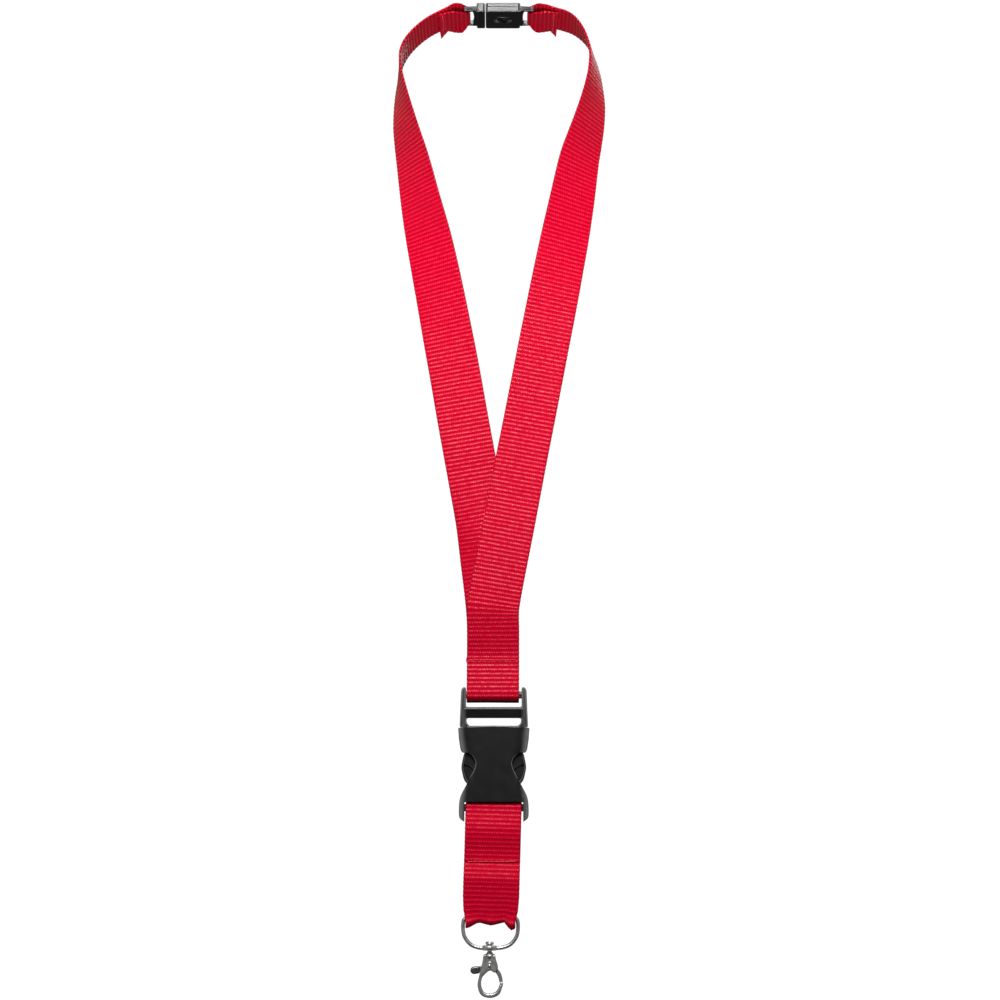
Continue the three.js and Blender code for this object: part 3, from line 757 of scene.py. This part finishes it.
def left_rows():
    bight = CLIP_BAR_R + 0.3 + 0.6
    return [
        standing(-27.2, 1.1, 90),
        standing(-23.5, 2.1, 90),
        standing(-19.8, 2.8, 90, 0.5),
        standing(-16.6, 3.2, 90, 4),
        *arc_rows((LEFT_BAR_X, CLIP_BAR_Z), bight, -90, 90, 4, in_xz, 90, NARROW + 0.4),
        standing(-16.6, 7.9, 90, 4),
        standing(-19.8, 7.3, 90, 1),
        standing(-23, 5.2, 90),
        standing(-27, 3.1, 90),
        standing(-32, 0.3, 90),
        standing(-36.8, -3.4, 90),
        standing(-41, -7.6, 90),
        standing(-44.4, -12.4, 90),
        standing(-46.5, -18, 89),
        standing(-47.1, -26, 84),
        standing(-46.6, -36, 75),
        standing(-44.9, -49, 64),
        standing(-42.8, -59.6, 57),
        standing(-40.5, -70, 50),
        standing(-36.3, -91, 38),
        standing(-31.8, -111.4, 26),
        standing(-27.7, -132, 18),
        standing(-23.8, -152, 12),
        standing(-20.1, -172, 6),
        standing(-16.5, -192, 2),
        standing(-12.9, -212, 0),
        standing(-9.2, -232.4, 0),
        [CREASE[0], 0, CREASE[1], 0, WIDTH],
        standing(-3.2, -272, 0),
        standing(-0.9, -291, 0),
        standing(0, -303, 0),
        [0, 0, SEAM_Z - 1.8, 0, WIDTH],
    ]


def right_rows():
    loop = TOP_BAR_R + 0.6 + 0.6
    bight = CLIP_BAR_R + 0.3 + 0.6
    return [
        [0, LAYER, -315, 0, WIDTH],
        [0, LAYER, -321, 0, WIDTH],
        [0, LAYER + 0.7, -328, 0, WIDTH],
        *arc_rows((0, TOP_BAR_Z - 0.25), loop, 0, -180, 6, at_x(0), 0, WIDTH),
        [0, -LAYER - 0.7, -328, 0, WIDTH],
        [0, -LAYER, -321, 0, WIDTH],
        [0, -LAYER, -317, 0, WIDTH],
        [0, -LAYER - 2.2, -306, 0, WIDTH],
        [0, -LAYER - 4.1, -296, 0, WIDTH],
        [0.8, -LAYER - 4.1, -290, 0, WIDTH],
        [3.9, -LAYER - 3.2, -273, 0, WIDTH],
        [7.8, -LAYER - 2.1, -253, 0, WIDTH],
        [11.7, -LAYER - 0.9, -233, 0, WIDTH],
        [15.6, -LAYER, -212.5, 0, WIDTH],
        [19.5, -LAYER, -192, 0, WIDTH],
        [23.4, -1.3, -172, -2, WIDTH],
        [27.3, -1, -152, -5, WIDTH],
        [31.2, -0.8, -132, -10, WIDTH],
        [35.2, -0.5, -111.4, -17, WIDTH],
        [39.1, -0.3, -91, -27, WIDTH],
        standing(43.1, -70, -38),
        standing(45.8, -59.6, -45),
        standing(48.4, -49, -53),
        standing(50.4, -38, -62),
        standing(51.1, -28, -71),
        standing(50.6, -19, -77),
        standing(49, -12, -80),
        standing(46.8, -6.6, -81),
        standing(43.8, -2.2, -83),
        standing(40, 1.3, -86),
        standing(35.8, 3.4, -90),
        standing(31.5, 4.7, -90),
        standing(26.5, 6.5, -90, 0.5),
        standing(22.4, 7.8, -90, 4),
        *arc_rows((RIGHT_BAR_X, CLIP_BAR_Z), bight, 90, 270, 4, in_xz, -90, NARROW + 0.4),
        standing(22.4, 3.2, -90, 4),
        standing(25.8, 3, -90, 0.5),
        standing(29.2, 2.5, -90),
        standing(32.4, 2, -90),
    ]


def lower_rows():
    lean = (RING_X - BUCKLE_X) / (RING_Z - LOWER_BAR_Z)

    def x_at(z):
        return BUCKLE_X + lean * (z - LOWER_BAR_Z)

    def row(y, z, width=LOWER_WIDTH):
        return [x_at(z), y, z, 0, width]

    def place(y, z):
        return (x_at(z), y, z)

    top = LOWER_BAR_R + 0.3 + 0.6
    bottom = WIRE + 0.25 + 0.6
    inner = LAYER / 2
    return [
        row(-inner - LAYER, LOWER_SEAM_Z - 0.2),
        row(-inner - LAYER, LOWER_SEAM_Z + 3),
        row(-inner - LAYER - 0.9, -399),
        *arc_rows((0, LOWER_BAR_Z), top, 180, 0, 6, place, 0, LOWER_WIDTH),
        row(2.1, -399),
        row(inner + 0.3, -412),
        row(inner + 0.2, -423),
        row(1.2, -430),
        row(1.7, -436, 25.6),
        *arc_rows((0, RING_Z), bottom, 0, -180, 6, place, 0, 23.4),
        row(-1.7, -436, 25.6),
        row(-1.2, -430),
        row(-inner - 0.1, -423),
        row(-inner, LOWER_SEAM_Z),
        row(-inner, LOWER_SEAM_Z + 4.5),
    ]


def slow_wave(s, u, seed, amount):
    """The slow uneven waves of a used strap: (across, out)."""
    across = 0.25 * noise.noise(Vector((s / 41, 9.0, seed)))
    return across, amount * noise.noise(Vector((s / 34, u * 0.8, seed)))


def left_warp(s, u, length):
    """The sewn end droops along its back edge, most of all beside the clip's bar."""
    across, out = slow_wave(s, u, 7.0, 0.3)
    back = max(0.0, -u)
    drop = np.interp(s, [0, 1.2, 4.5, 8, 11, 12.6, 15], [2.2, 1.2, -1.1, 0.6, 1.9, 1.5, 0])
    # Behind the right strap it bows forward a little and its outer half turns back.
    behind = np.interp(length - s, [14, 26, 40, 60, 72, 88], [0, 0.7, 1, 0.95, 0.5, 0])
    bow = behind * (1.4 - 3.6 * max(0.0, -u - 0.1))
    return across, out * min(1, s / 30) + drop * back ** 2 + bow, 0.0


def right_warp(s, u, length):
    across, out = slow_wave(s, u, 3.0, 0.3)
    back = max(0.0, u)
    left_over = length - s
    drop = np.interp(left_over, [0, 1.0, 3.5, 7, 10, 12, 14.5], [2.4, 1.3, -0.8, 0.5, 1.6, 1.4, 0])
    out = out * min(1, left_over / 30) - drop * back ** 2
    # The join's thread pulls a small bump into the strap's edge.
    bump = math.exp(-((s - RIGHT_SEAM_S) / 1.0) ** 2)
    return across - 0.5 * bump * (u < -0.9), out, 0.0


def lower_warp(s, u, length):
    """The fold round the ring: scalloped along its bottom, its corners hanging over the ring."""
    across, out = slow_wave(s, u, 11.0, 0.12)
    offset = s - LOWER_RING_S
    scallop = np.interp(u, [-1, -0.93, -0.48, 0.03, 0.57, 0.72, 0.84, 0.93, 1],
                        [2.2, 2.6, -0.3, 1.2, -0.3, 2.4, 3.5, 3.3, 2.2])
    near = math.exp(-(offset / 2.6) ** 2)
    slide = -scallop * 0.8 * math.tanh(offset / 1.5) * math.exp(-abs(offset) / 5)
    # The outer layer bows out below the buckle, and under the seam the inner one comes forward,
    # flush with it.
    out -= np.interp(s, [0, 6, 12, 16, 19.5, 22, 24], [0, 0.3, 1.0, 1.1, 0.6, 0.15, 0])
    out -= np.interp(offset, [4, 8, 14, 20, 22, 25, 27.6, 29, 30.6, 32.5],
                     [0, 0.8, 2.2, 3.3, 3.2, 2.5, 1.65, 0.9, 0.1, 0])
    return across, out - near * scallop, slide


def build_webbing():
    right, right_length = webbing("webbing_right", right_rows(), right_warp, WEBBING_SHADED_FOLD)
    finish_piece(right, "neck_loop", "webbing", "right_neck_strap")
    left, left_length = webbing("webbing_left", left_rows(), left_warp)
    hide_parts("left_neck_strap", "left_strap_end")
    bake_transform(left)
    lower, lower_length = webbing("webbing_lower", lower_rows(), lower_warp, WEBBING_MATT)
    finish_piece(lower, "drop_strap", "webbing", "lower_strap")


build_webbing()


# ---- Stitching ----

def stitches(name, start, end, out, body, node, stitch=1.9, gap=0.6, radius=0.27):
    """A row of thread from start to end, each stitch dipping into the webbing at its ends."""
    start, end, out = (np.array(v, float) for v in (start, end, out))
    length = np.linalg.norm(end - start)
    along = (end - start) / length
    count = int((length + gap) / (stitch + gap))
    pieces = []
    for i in range(count):
        first = start + along * i * (stitch + gap)
        path = []
        for k in range(9):
            t = k / 8
            rise = 0.24 * math.sin(math.pi * t) ** 0.6
            wander = 0.06 * math.sin(7.3 * i + 2.0)
            path.append(first + along * stitch * t + out * rise + np.cross(along, out) * wander)
        pieces.append(tube(f"{name}_{i}", path, radius, THREAD, sides=8, up=tuple(out)))
    joined = join(pieces)
    joined.name = name
    return finish_piece(joined, body, "thread", node)


def build_stitching():
    half = 11.3
    front = -LAYER - 0.62
    stitches("join_thread", (-half, front, SEAM_Z), (half, front, SEAM_Z), (0, -1, 0),
             "neck_loop", "join_stitching")
    stitches("left_clip_thread", (-25.2, -half, 1.05), (-25.2, half, 1.05), (0.3, 0, -1),
             "left_strap", "left_clip_stitching")
    stitches("right_clip_thread", (30.3, -half, 1.7), (30.3, half, 1.7), (-0.1, 0, -1),
             "neck_loop", "right_clip_stitching")
    lower_front = -1.5 * LAYER - 0.62
    stitches("lower_thread", (-half - 0.3, lower_front, LOWER_SEAM_Z),
             (half - 0.3, lower_front, LOWER_SEAM_Z), (0, -1, 0), "drop_strap", "lower_strap_stitching")


build_stitching()


# ---- Breakaway clip ----

def rounded_box(x0, x1, y0, y1, r):
    return contour([[(x0, y0), (x1, y0)], [(x1, y1), (x0, y1)]], corner=r)


def level_slab(name, outer, low, high, fillet):
    """A plate that lies level, between two heights."""
    return slab(name, outer, low, high, PLASTIC, fillet, place=lambda a, b, height: (a, b, height))


def clip_end(body_x, bar_x, name):
    """The loop that the webbing wraps: two tapered rails and a round bar."""
    outward = math.copysign(1, bar_x - body_x)
    inner, outer = 7.8, CLIP_HALF - 0.4
    far = bar_x + outward * CLIP_BAR_R
    near = body_x - outward * 1.5
    web_end = body_x + outward * 2
    web = contour([[(near, -9.6), (near, 9.6)], [(body_x, 9.7), (web_end - outward * 0.6, 9.4)],
                   [(web_end, 8), (web_end - outward * 0.5, 4), (web_end - outward * 0.6, 0),
                    (web_end - outward * 0.5, -4), (web_end, -8)],
                   [(web_end - outward * 0.6, -9.4), (body_x, -9.7)]], corner=0.6)
    pieces = [level_slab(name, web, CLIP_BAR_Z - 1.35, CLIP_BAR_Z + 1.35, 0.5)]
    for side in (-1, 1):
        rail = contour([
            [(near, side * inner), (bar_x, side * inner)],
            [(far, side * (inner + 0.3)), (far, side * (outer - 1.2))],
            [(near, side * outer), (near, side * inner)],
        ], corner=0.7)
        pieces.append(level_slab(name, rail, CLIP_BAR_Z - 1.2, CLIP_BAR_Z + 1.2, 0.45))
    bar = [(bar_x, y, CLIP_BAR_Z) for y in np.linspace(-outer + 1.4, outer - 1.4, 8)]
    pieces.append(tube(name, bar, CLIP_BAR_R, PLASTIC, up=(0, 0, 1)))
    return pieces


def oval(cx, half_x, half_y, count=40):
    return [(cx + half_x * math.cos(2 * math.pi * k / count), half_y * math.sin(2 * math.pi * k / count))
            for k in range(count)]


def build_clip():
    low, high = CLIP_Z - CLIP_THICK / 2, CLIP_Z + CLIP_THICK / 2
    outline = rounded_box(PARTING_X, SOCKET_END, -CLIP_HALF, CLIP_HALF, 1.2)
    shell = level_slab("clip_socket", outline, low, high, 0.5)
    window = level_slab("cut", oval(4.8, 4.8, 3.9), low - 1, CLIP_Z, 0.1)
    cavity = box("cut", PARTING_X - 1, 10.2, -6.3, 6.3, CLIP_Z - 0.9, CLIP_Z + 0.9)
    boolean(shell, [window, cavity], "DIFFERENCE")
    # A shallow groove runs round the narrow sides where the two mould halves met.
    grooves = [box("cut", -3.4, 13.0, side * CLIP_HALF - 0.25, side * CLIP_HALF + 0.25,
                   CLIP_Z + 0.1, CLIP_Z + 0.35) for side in (-1, 1)]
    boolean(shell, grooves, "DIFFERENCE")
    shade_by_angle(soften(shell, 0.12), 35)
    socket = join([shell, *clip_end(SOCKET_END, RIGHT_BAR_X, "socket_end")])
    finish_piece(socket, "neck_loop", "plastic", "breakaway_socket")

    outline = rounded_box(PLUG_END, PARTING_X - 0.3, -CLIP_HALF, CLIP_HALF, 1.0)
    block = level_slab("clip_plug", outline, low, high, 0.5)
    grooves = [box("cut", x, x + 0.5, -CLIP_HALF - 1, CLIP_HALF + 1, low - 0.5, low + 0.25)
               for x in (-7.2, -6.1)]
    boolean(block, grooves, "DIFFERENCE")
    shade_by_angle(soften(block, 0.1), 35)
    plug = join([block, *clip_end(PLUG_END, LEFT_BAR_X, "plug_end")])
    finish_piece(plug, "left_strap", "plastic", "breakaway_plug")

    outline = rounded_box(PARTING_X, 9.2, -6, 6, 1.6)
    blade = level_slab("clip_tongue", outline, CLIP_Z - 0.6, CLIP_Z + 0.6, 0.25)
    crown = contour([
        [(1.3, -0.9), (2.4, -2.3), (5.2, -2.6), (7.8, -1.5), (8.4, 0.3), (7.2, 1.8), (5.4, 2.4)],
        [(4.9, 0.9), (5.6, 0.2), (4.7, -0.6), (3.2, -0.3), (1.6, 0.2)],
    ], corner=0.4)
    catch = level_slab("catch", crown, low + 0.4, CLIP_Z - 0.3, 0.3)
    finish_piece(join([blade, catch]), "left_strap", "plastic", "breakaway_tongue")


build_clip()


# ---- Side-release buckle ----

def build_frame():
    inner, depth = 13.2, 2.2
    half = [
        [(inner, -341.75), (inner, -332.9)],
        [(inner + 0.5, -332.3), (14.5, -332.4), (15.3, -333.3), (15.6, -334.6)],
        [(16.2, -350.7), (15.8, -351.2)],
        [(13.9, -351.0), (13.9, -354)],
        [(4, -354), (3, -355.5)],
        [(2.4, -371), (0, -373)],
    ]
    outer = contour(shifted(half + mirrored(half), BUCKLE_X), corner=0.95)
    slot = inner - 0.6
    hole = contour(shifted([
        [(slot + 0.4, -346.9), (slot + 0.2, -349.2)],
        [(slot - 1, -350.6), (-slot + 1, -350.6)],
        [(-slot - 0.2, -349.2), (-slot - 0.4, -346.9)],
    ], BUCKLE_X), corner=0.9)
    body = slab("frame", outer, -depth, depth, SIDE_LIT_PLASTIC, 0.95, holes=[hole], steps=6)
    # Below its lip the middle bar's front and back slope in.
    wedges = []
    for side in (-1, 1):
        profile = [(2.5, -343.0), (2.1, -343.0), (1.25, -347.4), (2.5, -347.4)]
        corners = [(BUCKLE_X + x, side * y, z) for x in (-12.9, 12.9) for y, z in profile]
        faces = [(0, 1, 2, 3), (7, 6, 5, 4), (0, 4, 5, 1), (1, 5, 6, 2), (2, 6, 7, 3), (3, 7, 4, 0)]
        wedges.append(face_outwards(make_object("cut", corners, faces, SIDE_LIT_PLASTIC, smooth=False)))
    boolean(body, wedges, "DIFFERENCE")
    shade_by_angle(body, 40)
    # The middle bar has a raised lip along its top, front and back.
    ends = BUCKLE_X - inner - 0.4, BUCKLE_X + inner + 0.4
    lips = [
        tube("lip", [(x, side * 1.95, -342.75) for x in np.linspace(*ends, 10)], 0.55, SIDE_LIT_PLASTIC)
        for side in (-1, 1)
    ]
    bar = [(x, 0, TOP_BAR_Z) for x in np.linspace(ends[0] - 0.2, ends[1] + 0.2, 10)]
    made = join([body, *lips, tube("top_bar", bar, TOP_BAR_R, SIDE_LIT_PLASTIC)])
    made.name = "frame_moulding"
    finish_piece(made, "frame", "plastic", "buckle_frame")


def prong_side(side, name, body, node):
    """A flexing arm: a thin web, a thicker upper pad with a curved foot, and a raised outer rim."""
    def turned(runs):
        return contour(shifted(runs if side > 0 else mirrored(runs), BUCKLE_X), corner=0.5)

    web = turned([
        [(10, -356), (10.5, -354.9), (11.6, -354.4), (12.7, -354.9), (13.2, -356)],
        [(13.2, -362.6), (13.6, -363.6)],
        [(14.2, -364.4), (15.2, -369.6), (14.9, -372.6), (14, -375.9), (12.4, -378), (11.2, -377.3)],
        [(9, -373.5), (8, -369), (8.6, -365.2), (10, -360)],
    ])
    pad = turned([
        [(10.2, -356.4), (13.0, -356.4)],
        [(13.2, -362.6), (13.8, -363.9)],
        [(14.6, -366.4), (14.9, -369)],
        [(14, -368.7), (12.6, -369), (10.6, -370.2), (8.6, -372)],
        [(8.1, -369), (8.7, -365.2), (10.0, -360)],
    ])
    rim = turned([
        [(13.6, -363.4), (14.3, -364.6), (15.25, -369.6), (14.9, -372.7), (14.0, -376), (12.4, -378.1)],
        [(11.5, -377.4), (13, -375.4), (14, -372.4), (14.3, -369.6), (13.7, -366), (13.2, -364.2)],
    ])
    root = turned([[(10.7, -353.3), (12.5, -353.3)], [(12.5, -356.6), (10.7, -356.6)]])
    made = join([
        slab(name, web, -0.8, 0.8, PLASTIC, 0.3),
        slab("root", root, -0.75, 0.75, PLASTIC, 0.2),
        slab("pad", pad, -2.0, 2.0, PLASTIC, 0.35),
        slab("rim", rim, -2.4, 2.4, PLASTIC, 0.45),
    ])
    finish_piece(made, body, "plastic", node)


def housing_outline():
    half = [
        [(0, -350.7), (8.5, -350.9), (16.9, -351.7)],
        [(16.5, -357), (15.9, -361), (15.2, -362.8), (13.9, -363.2)],
        [(12, -363.5), (10, -365.1), (8.8, -367.3), (8.6, -368.7), (9.3, -371.4), (10.7, -374.1),
         (12.6, -377.9)],
        [(14.7, -381.7), (15.7, -383.9), (16.3, -387.1), (16.4, -392), (15.8, -394.2), (13.4, -395.8)],
    ]
    return contour(shifted(half + mirrored(half), BUCKLE_X), corner=0.8)


def housing_envelope():
    """A long bar with generously rounded sides, which rounds the housing where it is widest."""
    levels = [(-340, 17.2), (-351.7, 16.95), (-357, 16.5), (-361, 15.9), (-364, 15.3), (-372, 15.3),
              (-380, 15.6), (-385, 16.3), (-392, 16.5), (-400, 15.8)]
    rx, ry, steps = 6.5, 3.0, 14
    points, faces = [], []
    for z, half in levels:
        for cx, cy, start in ((1, 1, 0), (-1, 1, 90), (-1, -1, 180), (1, -1, 270)):
            for k in range(steps + 1):
                angle = math.radians(start + 90 * k / steps)
                points.append((BUCKLE_X + cx * (half - rx) + rx * math.cos(angle),
                               cy * (4.5 - ry) + ry * math.sin(angle), z))
    n = 4 * (steps + 1)
    for i in range(len(levels) - 1):
        for k in range(n):
            a, b = i * n + k, i * n + (k + 1) % n
            faces.append((a, b, b + n, a + n))
    faces.append(tuple(range(n)))
    faces.append(tuple(range((len(levels) - 1) * n, len(levels) * n)))
    return face_outwards(make_object("cut", points, faces, PLASTIC))


def build_housing():
    shell = slab("housing_shell", housing_outline(), -4.5, 4.5, PLASTIC, 0.6, steps=5)
    boolean(shell, [housing_envelope()], "INTERSECT")
    cavity = box("cut", BUCKLE_X - 14.3, BUCKLE_X + 14.3, -2.6, 2.6, -381, -345)
    strap_room = slab("cut", contour([
        [(BUCKLE_X - 13.9, -402), (BUCKLE_X + 13.9, -402)],
        [(BUCKLE_X + 13.9, -386.3), (BUCKLE_X - 13.9, -386.3)],
    ], corner=0.5), -9, 9, PLASTIC, 0.1)
    pocket = box("cut", BUCKLE_X - 13.9, BUCKLE_X + 13.9, -3.6, 3.6, -388, -385.3)
    boolean(shell, [cavity, strap_room, pocket], "DIFFERENCE")
    shade_by_angle(shell, 30)
    bar = [(x, 0, LOWER_BAR_Z) for x in np.linspace(BUCKLE_X - 13.3, BUCKLE_X + 13.3, 10)]
    made = join([shell, tube("bar", bar, LOWER_BAR_R, PLASTIC)])
    finish_piece(made, "housing", "plastic", "buckle_housing")


build_frame()
prong_side(-1, "prong_left_moulding", "prong_left", "buckle_prong_left")
prong_side(1, "prong_right_moulding", "prong_right", "buckle_prong_right")
build_housing()


# ---- D-ring, swivel and trigger hook ----

def build_ring():
    half = RING_HALF
    bow = [(-half + 0.5, RING_Z - 0.1), (-half - 0.3, RING_Z - 1.2), (-half - 0.55, -444.5),
           (-half + 0.2, -448.4), (-half + 2.9, -451.8), (-5.6, -453.4)]
    line = spline(bow + [(0, -453.7)] + [(-x, z) for x, z in bow[::-1]], 8)
    wire = tube("d_ring_wire", [(RING_X + x, 0, z) for x, z in line], WIRE, NICKEL)
    straight = np.linspace(-half + 0.6, half - 0.6, 12)
    cross = tube("cross", [(RING_X + x, 0, RING_Z) for x in straight], WIRE, NICKEL)
    boss = lathe("boss", [(1.35, -454.5), (2.9, -454.7), (3.4, -454.45), (3.5, -454.0), (3.5, -453.1),
                          (3.35, -452.65), (2.8, -452.4), (1.35, -452.5)], (SWIVEL_X, 0, 0), NICKEL)
    finish_piece(join([wire, cross, boss]), "ring", "nickel", "d_ring")


def build_rivet():
    made = lathe("swivel_pin", [
        (0.9, -456.6), (1.0, -456.4), (1.0, -454.9), (0.95, -452.2), (1.6, -452.15), (1.9, -451.9),
        (1.95, -451.4), (1.85, -450.95), (1.45, -450.65), (0.7, -450.6),
    ], (SWIVEL_X, 0, 0), NICKEL)
    slit = box("cut", SWIVEL_X - 0.45, SWIVEL_X + 0.45, -4, 4, -451.7, -449, NICKEL)
    boolean(made, [slit], "DIFFERENCE")
    shade_by_angle(made, 35)
    finish_piece(made, "hook", "nickel", "swivel_rivet")


def build_hook():
    outline = contour(shifted([
        [(-2.9, -456.8), (-3.3, -459.5), (-4, -463), (-4.9, -466.4), (-5.6, -470.4),
         (-4.4, -474.3), (-1.6, -476), (1.8, -476), (4.7, -474.3), (6, -471)],
        [(6.0, -469.95), (4.6, -470.1)],
        [(4.1, -471.8), (2.9, -473.4), (1.3, -474.2)],
        [(-1.3, -474.2), (-2.9, -473.2), (-3.9, -470.4), (-3.5, -467.2), (-1.8, -465.1),
         (0.3, -463.8), (2.2, -464.8)],
        [(3.9, -463.6), (3.8, -461.4), (3, -459), (2.6, -456.8)],
    ], SWIVEL_X), corner=0.6)
    body = slab("hook_casting", outline, -1.9, 1.9, CAST, 0.6, steps=5)
    cuts = [
        box("cut", -12, 12, -1.2, 1.2, -466.2, -459.6, CAST),
        box("cut", SWIVEL_X - 0.45, SWIVEL_X + 0.45, -3, -1.1, -462.9, -457.7, CAST),
        box("cut", SWIVEL_X - 0.45, SWIVEL_X + 0.45, 1.1, 3, -462.9, -457.7, CAST),
    ]
    boolean(body, cuts, "DIFFERENCE")
    soften(body, 0.12, 2, 45)
    shade_by_angle(body, 40)
    # A thin cheek on the front of the nose covers the gate's tip.
    cheek = contour(shifted([
        [(6.0, -471.2), (6.25, -470.2), (6.2, -469.0)],
        [(4.9, -469.1), (4.7, -470.2), (4.4, -471.2)],
    ], SWIVEL_X), corner=0.3)
    nose = slab("nose_cheek", cheek, -1.85, -1.15, CAST, 0.25)
    collar = lathe("collar", [(1.2, -457.6), (2.3, -457.5), (2.65, -457.1), (2.5, -456.5), (1.7, -456.2),
                              (1.4, -455.9), (1.3, -455.4)], (SWIVEL_X, 0, 0), CAST)
    finish_piece(join([body, nose, collar]), "hook", "nickel", "hook_body")


def build_gate():
    outline = contour(shifted([
        [(-1.2, -460.2), (0, -459.8), (1.4, -460.3), (3, -462.2), (4.9, -464.4), (5.9, -467),
         (6.1, -469.2)],
        [(4.6, -469.3), (3.9, -466.6), (2.6, -464.6), (1, -463.4), (-1.4, -463.5)],
        [(-4.6, -464.9), (-4.6, -461.9)],
    ], SWIVEL_X), corner=0.5)
    arm = slab("gate_arm", outline, -0.95, 0.4, CAST, 0.3)
    lever = contour(shifted([
        [(-4.4, -461.9), (-7.4, -462.0), (-8.7, -462.9), (-8.8, -464.4), (-7.4, -465.4), (-4.6, -465.0)],
    ], SWIVEL_X), corner=0.5)
    tab = slab("lever", lever, -1.6, 1.3, LEVER, 0.7, steps=5)
    finish_piece(arm, "gate", "nickel", "hook_gate")
    finish_piece(tab, "gate", "nickel")


def build_pin_and_spring():
    profile = [(0.3, -2.2), (0.62, -2.1), (0.7, -1.9), (0.7, 1.9), (0.62, 2.1), (0.3, 2.2)]
    pin = lathe("gate_pivot", profile, (SWIVEL_X, 0, GATE_Z), NICKEL, axis="y")
    finish_piece(pin, "hook", "nickel", "gate_pin")
    turns, wire = 2, 0.1
    coil = []
    for i in range(turns * 20 + 1):
        a = 2 * math.pi * i / 20
        coil.append((SWIVEL_X + 1.3 * math.cos(a), 0.55 + 0.11 * a / math.pi, GATE_Z + 1.3 * math.sin(a)))
    spring = tube("return_spring", coil, wire, NICKEL, sides=8)
    finish_piece(spring, "hook", "nickel", "gate_spring")


build_ring()
build_rivet()
build_hook()
build_gate()
build_pin_and_spring()
